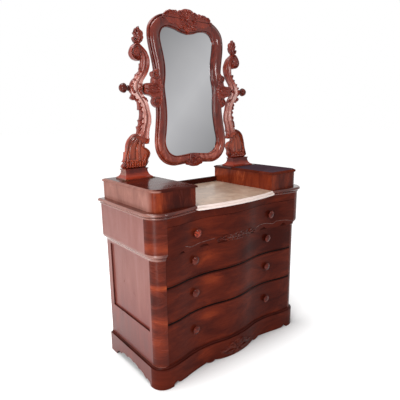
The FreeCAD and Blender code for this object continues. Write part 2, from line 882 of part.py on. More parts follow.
finial_outline_shares = [
    [(0.38, 0), (0.79, 0)],
    [(0.79, 0), (0.80, 0.08), (0.88, 0.13), (1.0, 0.185)],
    [(1.0, 0.185), (0.88, 0.27), (0.86, 0.36), (0.875, 0.45), (0.82, 0.60), (0.905, 0.705)],
    [(0.905, 0.705), (0.74, 0.76), (0.62, 0.795), (0.53, 0.865), (0.59, 0.975)],
    [(0.59, 0.975), (0.50, 1.0), (0.39, 0.95), (0.20, 0.85), (0.02, 0.77), (-0.05, 0.61),
     (0.0, 0.44), (0.05, 0.28)],
    [(0.05, 0.28), (0.13, 0.18), (0.25, 0.165), (0.37, 0.15), (0.39, 0.08), (0.38, 0)],
]


def smooth_face(runs, place):
    """A face whose outline is made of smooth runs that meet at points."""
    edges = []
    for run in runs:
        points = [place(u, v) for u, v in run]
        if len(points) == 2:
            edges.append(Part.LineSegment(*points).toShape())
        else:
            curve = Part.BSplineCurve()
            curve.interpolate(points)
            edges.append(curve.toShape())
    return Part.Face(Part.Wire(edges))


def standard():
    """Right S-scroll standard with the hole for the mirror's pivot."""
    y0 = mirror_y - standard_thickness / 2
    face = smooth_face(
        standard_outline_shares,
        lambda u, v: V(standard_inner_x + u * standard_width, y0,
                       plinth_block_top + v * standard_height))
    body = face.extrude(BACK * standard_thickness)
    hole = Part.makeCylinder(pivot_shaft_radius + shaft_clearance, standard_width,
                             V(standard_inner_x, mirror_y, pivot_height), RIGHT)
    return body.cut(hole)


def finial():
    """Right carved finial on the head of its standard."""
    left = finial_foot_x - finial_width / 2
    z0 = plinth_block_top + standard_height
    face = smooth_face(
        finial_outline_shares,
        lambda u, v: V(left + u * finial_width, mirror_y - finial_thickness / 2,
                       z0 + v * finial_height))
    return face.extrude(BACK * finial_thickness)


def make_stand():
    block = plinth_block()
    export("standard_plinths", block, mirrored(block))
    scroll = standard()
    export("standard_right", scroll)
    export("standard_left", mirrored(scroll))
    tip = finial()
    export("finials", tip, mirrored(tip))


# Mirror, drawn upright about its pivot and then leaned back by its rest tilt

frame_outline_shares = [
    (0, -0.985), (0.235, -0.99), (0.40, -0.998), (0.56, -1.0), (0.73, -0.968), (0.86, -0.905),
    (0.94, -0.824), (0.971, -0.748), (0.975, -0.657), (0.957, -0.565), (0.928, -0.449),
    (0.903, -0.333), (0.895, -0.243), (0.89, -0.12), (0.89, 0.02), (0.895, 0.14),
    (0.91, 0.26), (0.931, 0.354), (0.964, 0.463), (0.989, 0.556), (1.0, 0.648), (0.982, 0.741),
    (0.92, 0.815), (0.816, 0.875), (0.686, 0.919), (0.54, 0.944), (0.36, 0.958), (0.18, 0.965),
]
opening_outline_shares = [
    (0, -0.984), (0.13, -0.984), (0.36, -0.995), (0.656, -1.0), (0.872, -0.949), (0.98, -0.861),
    (1.01, -0.762), (0.959, -0.62), (0.913, -0.455), (0.897, -0.321), (0.903, -0.174),
    (0.923, -0.04), (0.923, 0.059), (0.882, 0.176), (0.867, 0.294), (0.877, 0.388),
    (0.913, 0.508), (0.959, 0.62), (0.99, 0.727), (0.959, 0.807), (0.862, 0.872),
    (0.687, 0.901), (0.436, 0.885), (0.22, 0.85),
]


def loop_face(shares, half_width, half_height, inset, y, top_share):
    """A smooth closed outline, the same on both sides, drawn in by an inset."""
    right = [(u * half_width, v * half_height) for u, v in shares]
    left = [(-x, z) for x, z in right[:0:-1]]
    ring = right + [(0, top_share * half_height)] + left
    points = []
    for i, (x, z) in enumerate(ring):
        x0, z0 = ring[i - 1]
        x1, z1 = ring[(i + 1) % len(ring)]
        length = math.hypot(x1 - x0, z1 - z0)
        points.append(V(x - inset * (z1 - z0) / length, y, z + inset * (x1 - x0) / length))
    curve = Part.BSplineCurve()
    curve.interpolate(points, True)
    return Part.Face(Part.Wire([curve.toShape()]))


def outer_plate(inset, y0, y1):
    """A plate with the mirror frame's outline."""
    face = loop_face(frame_outline_shares, frame_half_width, frame_half_height, inset, y0,
                     frame_top_share)
    return face.extrude(BACK * (y1 - y0))


def inner_plate(inset, y0, y1):
    """A plate with the outline of the mirror's opening."""
    face = loop_face(opening_outline_shares, opening_half_width, opening_half_height,
                     inset, y0, opening_top_share)
    return face.extrude(BACK * (y1 - y0))


def mirror_frame():
    """Frame with a raised front moulding and a rebate behind for the glass."""
    body = outer_plate(0, -frame_body_front, frame_edge_back)
    inner = outer_plate(frame_back_setback, frame_edge_back, frame_back)
    raised = outer_plate(frame_rim_width, -frame_front, -frame_body_front)
    rebate = inner_plate(-rebate_width, frame_rebate_depth, frame_back)
    sight = inner_plate(0, -frame_body_front, frame_rebate_depth)
    bevel = inner_plate(-frame_sight_width, -frame_front, -frame_body_front)
    return joined([body, inner, raised]).cut(sight).cut(rebate).cut(bevel)


crest_outline_shares = [
    [(0, 0), (0.10, 0.06), (0.18, 0.17), (0.30, 0.13), (0.42, 0.26), (0.52, 0.30)],
    [(0.52, 0.30), (0.66, 0.28), (0.82, 0.38), (0.96, 0.52)],
    [(0.96, 0.52), (0.95, 0.58), (0.90, 0.64), (0.84, 0.71), (0.76, 0.81)],
    [(0.76, 0.81), (0.68, 0.86), (0.60, 0.83)],
    [(0.60, 0.83), (0.52, 0.86), (0.44, 0.88), (0.40, 0.80)],
    [(0.40, 0.80), (0.36, 0.87), (0.29, 0.90), (0.24, 0.86)],
    [(0.24, 0.86), (0.20, 0.94), (0.11, 0.99), (0, 1.0)],
]
bottom_outline_shares = [
    [(0, 0), (0.20, 0.01), (0.36, 0.09), (0.52, 0.13)],
    [(0.52, 0.13), (0.60, 0.22), (0.66, 0.34), (0.70, 0.44)],
    [(0.70, 0.44), (0.66, 0.56), (0.56, 0.64), (0.44, 0.72)],
    [(0.44, 0.72), (0.30, 0.92), (0.14, 0.98), (0, 1.0)],
]
ear_outline_shares = [
    [(1.0, -0.16), (1.0, 0.17)],
    [(1.0, 0.17), (0.93, 0.25), (0.80, 0.275), (0.66, 0.28), (0.555, 0.315)],
    [(0.555, 0.315), (0.525, 0.40), (0.515, 0.50), (0.47, 0.58)],
    [(0.47, 0.58), (0.535, 0.66), (0.55, 0.76), (0.505, 0.86), (0.40, 0.89)],
    [(0.40, 0.89), (0.30, 1.0), (0.18, 0.86), (0.12, 0.66), (0.16, 0.44)],
    [(0.16, 0.44), (0.02, 0.24), (0.0, 0.04), (0.10, -0.20)],
    [(0.10, -0.20), (0.08, -0.46), (0.14, -0.72), (0.30, -0.94)],
    [(0.30, -0.94), (0.42, -0.90), (0.52, -0.82), (0.575, -0.72), (0.60, -0.60), (0.545, -0.46)],
    [(0.545, -0.46), (0.555, -0.40), (0.65, -0.345), (0.80, -0.31), (0.92, -0.27), (1.0, -0.16)],
]


def symmetric_carving(runs, half_width, bottom, top, back):
    """A carving that is the same on both sides of the mirror's middle."""
    reach = top - bottom
    right = [[(u, v) for u, v in run] for run in runs]
    left = [[(-u, v) for u, v in run[::-1]] for run in runs[::-1]]
    face = smooth_face(right + left,
                       lambda u, v: V(u * half_width, -carving_front, bottom + v * reach))
    return face.extrude(BACK * (carving_front + back))


def ear():
    """Right carved ear, which carries the pivot socket beside the frame."""
    width = ear_outer_x - ear_inner_x
    face = smooth_face(ear_outline_shares,
                       lambda u, v: V(ear_inner_x + u * width, -carving_front,
                                      v * ear_half_height))
    return face.extrude(BACK * (carving_front + ear_back))


def pivot_socket():
    """Right brass socket with its plate, bored for the shaft."""
    tube = Part.makeCylinder(socket_radius, ear_outer_x - socket_end_x,
                             V(socket_end_x, 0, 0), RIGHT)
    plate = Part.makeCylinder(socket_plate_radius, socket_plate_thickness,
                              V(ear_outer_x, 0, 0), RIGHT)
    bore = Part.makeCylinder(pivot_shaft_radius + shaft_clearance, ear_outer_x,
                             V(socket_end_x, 0, 0), RIGHT)
    return joined([tube, plate]).cut(bore)


pivot_knob_shares = [
    (0, 0), (0.60, 0), (0.60, 0.10), (0.42, 0.17, 0.40, 0.24), (0.52, 0.34, 0.80, 0.36),
    (0.97, 0.42, 1.0, 0.60),
]


def pivot_knob():
    """Right clamping knob, turned in one with the shaft that carries the mirror."""
    length = pivot_knob_end_x - pivot_collar_x
    steps = scaled_steps(pivot_knob_shares, 0, pivot_knob_radius, 0, length)
    steps.append(dome(*steps[-1][-2:], length))
    face = section_face(steps, lambda r, out: V(pivot_collar_x + out, 0, r))
    head = face.revolve(V(0, 0, 0), RIGHT, 360)
    shaft = Part.makeCylinder(pivot_shaft_radius, pivot_collar_x - pivot_shaft_end_x,
                              V(pivot_shaft_end_x, 0, 0), RIGHT)
    return joined([head, shaft])


def hung(shape):
    """Lean a piece of the mirror back by its rest tilt and hang it on the pivot."""
    placed = shape.copy()
    placed.rotate(V(0, 0, 0), RIGHT, -rest_tilt)
    placed.translate(V(0, mirror_y, pivot_height))
    return placed


def make_mirror():
    frame = mirror_frame()
    export("mirror_frame", hung(frame))
    glass_back = frame_rebate_depth + glass_thickness
    export("mirror_glass", hung(inner_plate(-rebate_width, frame_rebate_depth, glass_back)))
    board_back = glass_back + backboard_thickness
    export("mirror_backboard", hung(inner_plate(-rebate_width, glass_back, board_back)))
    crest = symmetric_carving(crest_outline_shares, crest_half_width, crest_bottom, crest_top,
                              carving_back)
    export("crest_carving", hung(crest.cut(frame)))
    drop = symmetric_carving(bottom_outline_shares, bottom_carving_half_width,
                             bottom_carving_bottom, bottom_carving_top, -frame_body_front)
    export("bottom_carving", hung(drop.cut(frame)))
    bore = Part.makeCylinder(socket_radius, ear_outer_x, V(socket_end_x, 0, 0), RIGHT)
    right_ear = ear().cut(frame).cut(bore)
    export("mirror_ears", hung(right_ear), hung(mirrored(right_ear)))
    socket = pivot_socket()
    export("pivot_sockets", hung(socket), hung(mirrored(socket)))
    knob = pivot_knob()
    export("pivot_knob_right", hung(knob))
    export("pivot_knob_left", hung(mirrored(knob)))


# Drawers

knob_shares = [
    (0, 0), (0.56, 0), (0.56, 0.08), (0.40, 0.16, 0.38, 0.34), (0.50, 0.46, 0.94, 0.50),
    (1.0, 0.59, 0.92, 0.70),
]


def knob(x, y, z):
    """A turned drawer knob with the tenon that goes through the drawer front."""
    steps = scaled_steps(knob_shares, 0, knob_radius, 0, knob_length)
    steps.append(dome(*steps[-1][-2:], knob_length))
    face = section_face(steps, lambda r, out: V(x + r, y - out, z))
    head = face.revolve(V(x, y, z), BACK, 360)
    tenon = Part.makeCylinder(knob_tenon_radius, knob_tenon_length, V(x, y, z), BACK)
    return joined([head, tenon])


lip_shares = [
    (0, 1.0), (0.08, 0.99, 0.14, 0.90), (0.18, 0.62, 0.225, 0.56), (0.27, 0.60, 0.31, 0.88),
    (0.355, 0.99, 0.405, 0.88), (0.44, 0.55, 0.475, 0.50), (0.515, 0.56, 0.545, 0.88),
    (0.655, 1.0, 0.77, 0.88), (0.795, 0.52, 0.82, 0.45), (0.845, 0.60, 0.86, 0.96), (1.0, 1.0),
]


def make_drawer(number, z0, z1, rest_z, inner, outer, knob_share):
    """One drawer: front, box and knobs. rest_z is the top of what its sides run on."""
    name = "drawer_" + str(number)
    half_width = crest_x - drawer_gap
    bead = drawer_bead_radius
    if number == 1:
        section = slab(inner, outer, z0 - lip_drop, z1)
    else:
        section = [(outer, z0), (outer + bead, z0 + bead, outer, z0 + 2 * bead), (outer, z1),
                   (inner, z1), (inner, z0)]
    face = front_board(section, half_width)
    if number == 1:
        steps = scaled_steps(lip_shares, 0, half_width, z0, -lip_drop)
        low = z0 - lip_drop - cut_over
        steps = [(0, low)] + steps + [(half_width + cut_over, z0 - lip_drop),
                                      (half_width + cut_over, low)]
        face = face.cut(front_cutter(steps, case_depth + outer + cut_over,
                                     case_depth - corner_radius))
    knob_z = z0 + knob_share * (z1 - z0)
    seat = min(front_y(knob_x - knob_radius / 2, outer), front_y(knob_x + knob_radius / 2, outer))
    knobs = [knob(knob_x, seat, knob_z)]
    knobs.append(mirrored(knobs[0]))
    for piece in knobs:
        face = face.cut(piece)
    wall_z0 = rest_z + slide_gap
    wall_z1 = z1 - drawer_wall_drop
    wall_x0 = drawer_wall_outer_x - drawer_wall_thickness
    wall_y1 = rear - drawer_rear_depth
    reach = front - outer
    side = box(wall_x0, drawer_wall_outer_x, reach, wall_y1, wall_z0, wall_z1)
    floor_z0 = wall_z0 + drawer_bottom_rise
    back_y0 = wall_y1 - drawer_wall_thickness
    bottom = box(-wall_x0, wall_x0, reach, back_y0, floor_z0, floor_z0 + drawer_bottom_thickness)
    inside = plan_block(inner, wall_z0, wall_z1)
    side = side.common(inside)
    bottom = bottom.common(inside)
    back = box(-wall_x0, wall_x0, back_y0, wall_y1, wall_z0, wall_z1 - drawer_back_drop)
    export(name + "_front", face)
    export(name + "_box", side, mirrored(side), back, bottom)
    export(name + "_knobs", *knobs)


def make_drawers():
    tops = [frieze_rail_bottom, upper_divider_z, middle_divider_z, lower_divider_z]
    rests = [upper_divider_top, middle_divider_z + divider_thickness,
             lower_divider_z + divider_thickness, bottom_board_top]
    knob_height_shares = [0.455, 0.60, 0.575, 0.55]
    for i, (top, rest, share) in enumerate(zip(tops, rests, knob_height_shares)):
        outer = frieze_step if i == 0 else 0
        inner = lip_gap if i == 0 else -drawer_front_thickness
        make_drawer(i + 1, rest + drawer_gap, top - drawer_gap, rest, inner, outer, share)
    bottom = rests[0] + drawer_gap - lip_drop
    export("drawer_1_carving", front_carving(ornament_half_width, bottom,
                                             lip_drop + ornament_top_rise, frieze_step,
                                             frieze_step + ornament_thickness))


os.makedirs("parts", exist_ok=True)
make_base()
make_lower_case()
make_frieze()
make_deck()
make_boxes()
make_stand()
make_mirror()
make_drawers()
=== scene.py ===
import math

import bpy
from mathutils import Matrix, Vector
from mathutils.geometry import tessellate_polygon


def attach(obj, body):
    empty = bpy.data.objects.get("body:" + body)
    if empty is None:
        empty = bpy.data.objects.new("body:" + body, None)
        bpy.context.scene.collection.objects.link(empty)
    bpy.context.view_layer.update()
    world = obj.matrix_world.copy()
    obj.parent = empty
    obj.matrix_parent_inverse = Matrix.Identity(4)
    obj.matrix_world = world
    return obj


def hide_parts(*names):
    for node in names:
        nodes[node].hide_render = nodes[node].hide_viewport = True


bl_info = {
    "name": "Serpentine Dresser",
    "version": (1, 0, 0),
    "blender": (4, 5, 0),
    "location": "View3D > Sidebar > Dresser",
    "description": "Dresses the packed dresser in polished mahogany, marble and glass",
    "category": "Object",
}

# Sizes are in millimetres until a place function turns them to metres. Carvings are drawn flat,
# with x to the right, z up and out towards the viewer.

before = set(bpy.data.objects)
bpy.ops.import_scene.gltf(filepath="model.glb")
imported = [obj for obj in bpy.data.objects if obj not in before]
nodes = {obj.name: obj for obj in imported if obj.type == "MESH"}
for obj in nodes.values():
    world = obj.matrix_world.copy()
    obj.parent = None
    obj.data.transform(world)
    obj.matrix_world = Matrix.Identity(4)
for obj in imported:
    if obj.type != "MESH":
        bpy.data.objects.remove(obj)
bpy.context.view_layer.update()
MM = 0.001


class DresserSizes(bpy.types.PropertyGroup):
    frame_rim: bpy.props.FloatProperty(
        name="Frame rim", description="Width of the rounded outer rim of the mirror frame",
        default=0.013, min=0.008, max=0.016, unit="LENGTH")
    frame_sight: bpy.props.FloatProperty(
        name="Frame sight", description="Width of the small bead beside the glass",
        default=0.009, min=0.005, max=0.012, unit="LENGTH")
    frame_cushion: bpy.props.FloatProperty(
        name="Frame cushion", description="How far the wide moulding of the frame stands out",
        default=0.020, min=0.012, max=0.024, unit="LENGTH")
    leaf_rise: bpy.props.FloatProperty(
        name="Leaf rise", description="How far a carved leaf swells, as a share of its drawing",
        default=1.0, min=0.5, max=1.3, subtype="FACTOR")
    edge_wear: bpy.props.FloatProperty(
        name="Edge wear", description="Radius worn onto the edges of the case",
        default=0.0012, min=0.0004, max=0.003, unit="LENGTH")


class DresserColours(bpy.types.PropertyGroup):
    dark_heartwood: bpy.props.FloatVectorProperty(
        name="Dark heartwood", description="Darkest streaks of the polished mahogany",
        subtype="COLOR_GAMMA", default=(0.17, 0.045, 0.035), min=0, max=1)
    glass_silver: bpy.props.FloatVectorProperty(
        name="Glass silver", description="Tone of the old silvering behind the glass",
        subtype="COLOR_GAMMA", default=(0.71, 0.71, 0.72), min=0, max=1)


# Places

rear = 281.5
front = -226.5
corner_y = -167.5
half = 535
crest_x = 476
quarter_wave = 119
wave_radius = 512.75
wave_depth = 28
mirror_y = 174.5
pivot_z = 1525.8
rest_tilt = math.radians(3.3)
stand_x = 271.39
stand_width = 205
stand_z = 1102
stand_height = 652


def hung(x, z, out):
    """A place on the mirror, leaned back as it hangs on its pivot."""
    y = -out * math.cos(rest_tilt) + z * math.sin(rest_tilt)
    up = out * math.sin(rest_tilt) + z * math.cos(rest_tilt)
    return Vector((x, mirror_y + y, pivot_z + up)) * MM


def standing(x, z, out):
    """A place on a standard, where x and z are shares of its width and height."""
    return Vector((stand_x + x * stand_width, mirror_y - out, stand_z + z * stand_height)) * MM


def front_y(x, offset):
    """Where the serpentine front lies at x."""
    x = abs(x)
    lean = quarter_wave / wave_radius
    if x < quarter_wave + offset * lean:
        return front + wave_radius - math.sqrt((wave_radius + offset) ** 2 - x ** 2)
    if x < crest_x - quarter_wave - offset * lean:
        reach = math.sqrt((wave_radius - offset) ** 2 - (x - crest_x / 2) ** 2)
        return front + wave_depth - wave_radius + reach
    return front + wave_radius - math.sqrt((wave_radius + offset) ** 2 - (x - crest_x) ** 2)


def on_front(x, z, out):
    """A place on the serpentine front."""
    return Vector((x, front_y(x, out), z)) * MM


# Carver's strokes. Each adds one closed skin to a carving.

class Carving:
    """Skins of one carved piece, drawn flat and put in place at the end."""

    def __init__(self, place):
        self.place = place
        self.points = []
        self.faces = []

    def skin(self, rows, guide=None):
        """A tube through rows of points; each row is a closed ring. guide is the outline
        whose triangles close both ends, for shapes with hollows."""
        start = len(self.points)
        count = len(rows[0])
        for row in rows:
            self.points.extend(row)
        for i in range(len(rows) - 1):
            for j in range(count):
                a = start + i * count + j
                b = start + i * count + (j + 1) % count
                self.faces.append((a, b, b + count, a + count))
        last = start + (len(rows) - 1) * count
        for cap in (triangles(guide) if guide else [tuple(range(count))]):
            self.faces.append(tuple(start + j for j in reversed(cap)))
            self.faces.append(tuple(last + j for j in cap))

    def closed_skin(self, rows):
        """A ring-shaped tube, whose last row meets the first."""
        start = len(self.points)
        count = len(rows[0])
        for row in rows:
            self.points.extend(row)
        for i in range(len(rows)):
            low = start + i * count
            high = start + (i + 1) % len(rows) * count
            for j in range(count):
                k = (j + 1) % count
                self.faces.append((low + j, low + k, high + k, high + j))

    def plate(self, outline, back, face, rounding):
        """A board with this outline and a rounded front edge."""
        rows = [[(x, z, back) for x, z in outline]]
        for step in range(4):
            turn = math.radians(step * 30)
            inset = rounding * (1 - math.cos(turn))
            level = face - rounding + rounding * math.sin(turn)
            rows.append([(x, z, level) for x, z in shrunk(outline, inset)])
        self.skin(rows, outline)

    def ribbon(self, pairs, section, back, steps=6):
        """A moulded band between two edges, given as pairs of edge points."""
        lines = [smooth([(p[0], p[1]) for p in pairs], steps),
                 smooth([(p[2], p[3]) for p in pairs], steps)]
        rows = []
        for (ax, az), (bx, bz) in zip(*lines):
            row = [(ax + (bx - ax) * share, az + (bz - az) * share, out)
                   for share, out in section]
            rows.append([(ax, az, back)] + row + [(bx, bz, back)])
        self.skin(rows)

    def leaf(self, spine, width, rise, out=0, lobes=4, sink=6, curl=0.0):
        """A carved leaf with lobed edges, a sunk rib and ruffled blades."""
        rise = rise * bpy.context.scene.dresser_sizes.leaf_rise
        count = 5 * lobes + 5
        line = smooth(spine, max(2, math.ceil(count / (len(spine) - 1))))
        rows = []
        last = len(line) - 1
        for i, (x, z) in enumerate(line):
            t = i / last
            nx, nz = side_of(line, i)
            swell = (t + 0.04) ** 0.45 * (1.02 - t) ** 0.62 * 1.45
            ripple = abs(math.sin(math.pi * (lobes * t + 0.15)))
            reach = width * swell * (0.70 + 0.30 * ripple)
            crown = rise * (0.45 + 0.55 * math.sin(math.pi * min(1, t * 0.9 + 0.1)))
            crown += curl * t * t
            row = []
            for step in range(11):
                a = step / 5 - 1
                dome = (1 - a * a) ** 0.5 if abs(a) < 1 else 0
                rib = 0.42 * math.exp(-(a / 0.16) ** 2)
                ruffle = 0.28 * (ripple - 0.5) * abs(a)
                level = out + crown * max(0, dome * (1 - rib) + ruffle * dome)
                row.append((x + nx * a * reach, z + nz * a * reach, level))
            row.append((x + nx * reach * 0.8, z + nz * reach * 0.8, out - sink))
            row.append((x - nx * reach * 0.8, z - nz * reach * 0.8, out - sink))
            rows.append(row)
        self.skin(rows)

    def scroll(self, path, thick, thin, out=0, lift=0, steps=8, flat=1.0):
        """A rounded scroll along a path; thick at its start and thin at its end."""
        line = smooth(path, steps)
        rows = []
        last = len(line) - 1
        for i, (x, z) in enumerate(line):
            t = i / last
            size = thick + (thin - thick) * t
            nx, nz = side_of(line, i)
            row = []
            for step in range(10):
                turn = step * math.tau / 10
                a = math.cos(turn) * size
                row.append((x + nx * a, z + nz * a, out + lift * t + math.sin(turn) * size * flat))
            rows.append(row)
        self.skin(rows)

    def boss(self, x, z, radius, out, rise, dimple=0.0):
        """A round boss with a soft edge and a drilled eye."""
        rows = []
        for r, h in ((1.0, -0.6), (1.0, 0.0), (0.94, 0.42), (0.78, 0.76), (0.52, 0.95),
                     (0.30, 1.0 - dimple * 0.5), (0.12, 1.0 - dimple)):
            rows.append([(x + radius * r * math.cos(k * math.tau / 14),
                          z + radius * r * math.sin(k * math.tau / 14), out + rise * h)
                         for k in range(14)])
        self.skin(rows)

    def rose(self, x, z, radius, out, rise, turn=0.0):
        """An open rose: two rings of cupped petals round a bud."""
        for ring, (count, reach, size, lift) in enumerate(((5, 0.58, 0.50, 0.0),
                                                           (4, 0.28, 0.36, 0.38))):
            for k in range(count):
                angle = turn + ring * 0.6 + k * math.tau / count
                cx, cz = math.cos(angle), math.sin(angle)
                spine = [(x + cx * radius * 0.06, z + cz * radius * 0.06),
                         (x + cx * radius * reach, z + cz * radius * reach),
                         (x + cx * radius * (reach + size * 0.82),
                          z + cz * radius * (reach + size * 0.82))]
                self.leaf(spine, radius * size, rise * 0.62, out + rise * lift, lobes=1, curl=rise * 0.2)
        self.boss(x, z, radius * 0.22, out + rise * 0.5, rise * 0.62, dimple=0.25)

    def carve(self, name, material, body, replaced=(), mirror=None):
        """Turn the skins into one piece that rides on a body."""
        places = [self.place(*p) for p in self.points]
        faces = list(self.faces)
        if mirror:
            count = len(places)
            places += [Vector((-p.x, p.y, p.z)) for p in places]
            faces += [tuple(count + i for i in reversed(face)) for face in self.faces]
        return new_piece(name, places, faces, material, body, replaced)


def smooth(points, steps, closed=False):
    """A soft line through given points."""
    count = len(points)
    line = []
    spans = count if closed else count - 1
    for i in range(spans):
        if closed:
            p = [points[(i + k) % count] for k in (-1, 0, 1, 2)]
        else:
            p = [points[max(0, min(count - 1, i + k))] for k in (-1, 0, 1, 2)]
        for step in range(steps):
            t = step / steps
            w = (-0.5 * t + t * t - 0.5 * t ** 3, 1 - 2.5 * t * t + 1.5 * t ** 3,
                 0.5 * t + 2 * t * t - 1.5 * t ** 3, -0.5 * t * t + 0.5 * t ** 3)
            line.append(tuple(sum(w[k] * p[k][n] for k in range(4)) for n in (0, 1)))
    if not closed:
        line.append(tuple(points[-1][:2]))
    return line


def side_of(line, i):
    """The direction across a line at one of its points."""
    a = line[max(0, i - 1)]
    b = line[min(len(line) - 1, i + 1)]
    dx, dz = b[0] - a[0], b[1] - a[1]
    length = math.hypot(dx, dz) or 1.0
    return dz / length, -dx / length


def shrunk(outline, inset):
    """An outline drawn in by an inset; it runs anticlockwise."""
    made = []
    for i, (x, z) in enumerate(outline):
        ax, az = outline[i - 1]
        bx, bz = outline[(i + 1) % len(outline)]
        length = math.hypot(bx - ax, bz - az) or 1.0
        made.append((x - inset * (bz - az) / length, z + inset * (bx - ax) / length))
    return made


def triangles(outline):
    """The triangles that fill an outline, all turned to run anticlockwise."""
    made = []
    for a, b, c in tessellate_polygon([[Vector((x, z, 0)) for x, z in outline]]):
        (ax, az), (bx, bz), (cx, cz) = outline[a], outline[b], outline[c]
        turned = (bx - ax) * (cz - az) > (bz - az) * (cx - ax)
        made.append((a, b, c) if turned else (a, c, b))
    return made


def anticlockwise(outline):
    """The same outline, turned to run anticlockwise."""
    area = sum(a[0] * b[1] - b[0] * a[1] for a, b in zip(outline, outline[1:] + outline[:1]))
    return outline if area > 0 else outline[::-1]


def run_outline(runs, steps=5):
    """A closed outline made of soft runs that meet at points."""
    line = []
    for run in runs:
        line += smooth(run, steps if len(run) > 2 else 1)[:-1]
    return anticlockwise(line)


def both_sides(outline_half):
    """A closed outline from its right half."""
    return anticlockwise(outline_half + [(-x, z) for x, z in outline_half[-2:0:-1]])


def new_piece(name, places, faces, material, body, replaced=()):
    """One new piece from its points and faces."""
    mesh = bpy.data.meshes.new(name)
    mesh.from_pydata(places, [], faces)
    mesh.validate()
    mesh.shade_smooth()
    mesh.set_sharp_from_angle(angle=math.radians(48))
    mesh.materials.append(material)
    piece = bpy.data.objects.new(name, mesh)
    bpy.context.scene.collection.objects.link(piece)
    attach(piece, body)
    if replaced:
        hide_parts(*replaced)
    return piece


# Finishes

def linear(code):
    """An sRGB hex value as linear red, green, blue and alpha."""
    parts = [int(code[i:i + 2], 16) / 255 for i in (1, 3, 5)]
    return tuple(c / 12.92 if c <= 0.04045 else ((c + 0.055) / 1.055) ** 2.4
                 for c in parts) + (1.0,)


def add(tree, kind, inputs=None, **settings):
    """Add one node with its settings, values and links."""
    made = tree.nodes.new(kind)
    for key, value in settings.items():
        setattr(made, key, value)
    for key, value in (inputs or {}).items():
        if isinstance(value, bpy.types.NodeSocket):
            tree.links.new(value, made.inputs[key])
        else:
            made.inputs[key].default_value = value
    return made


def new_material(name):
    """An empty material with its node tree."""
    material = bpy.data.materials.new(name)
    material.use_nodes = True
    material.node_tree.nodes.clear()
    return material, material.node_tree


def tone_ramp(tree, factor, stops):
    """Colours along a factor from 0 to 1."""
    ramp = add(tree, "ShaderNodeValToRGB", {"Fac": factor})
    marks = ramp.color_ramp.elements
    for mark, (place, code) in ((marks[1], stops[-1]), (marks[0], stops[0])):
        mark.position = place
        mark.color = linear(code)
    for place, code in stops[1:-1]:
        marks.new(place).color = linear(code)
    return ramp.outputs["Color"]


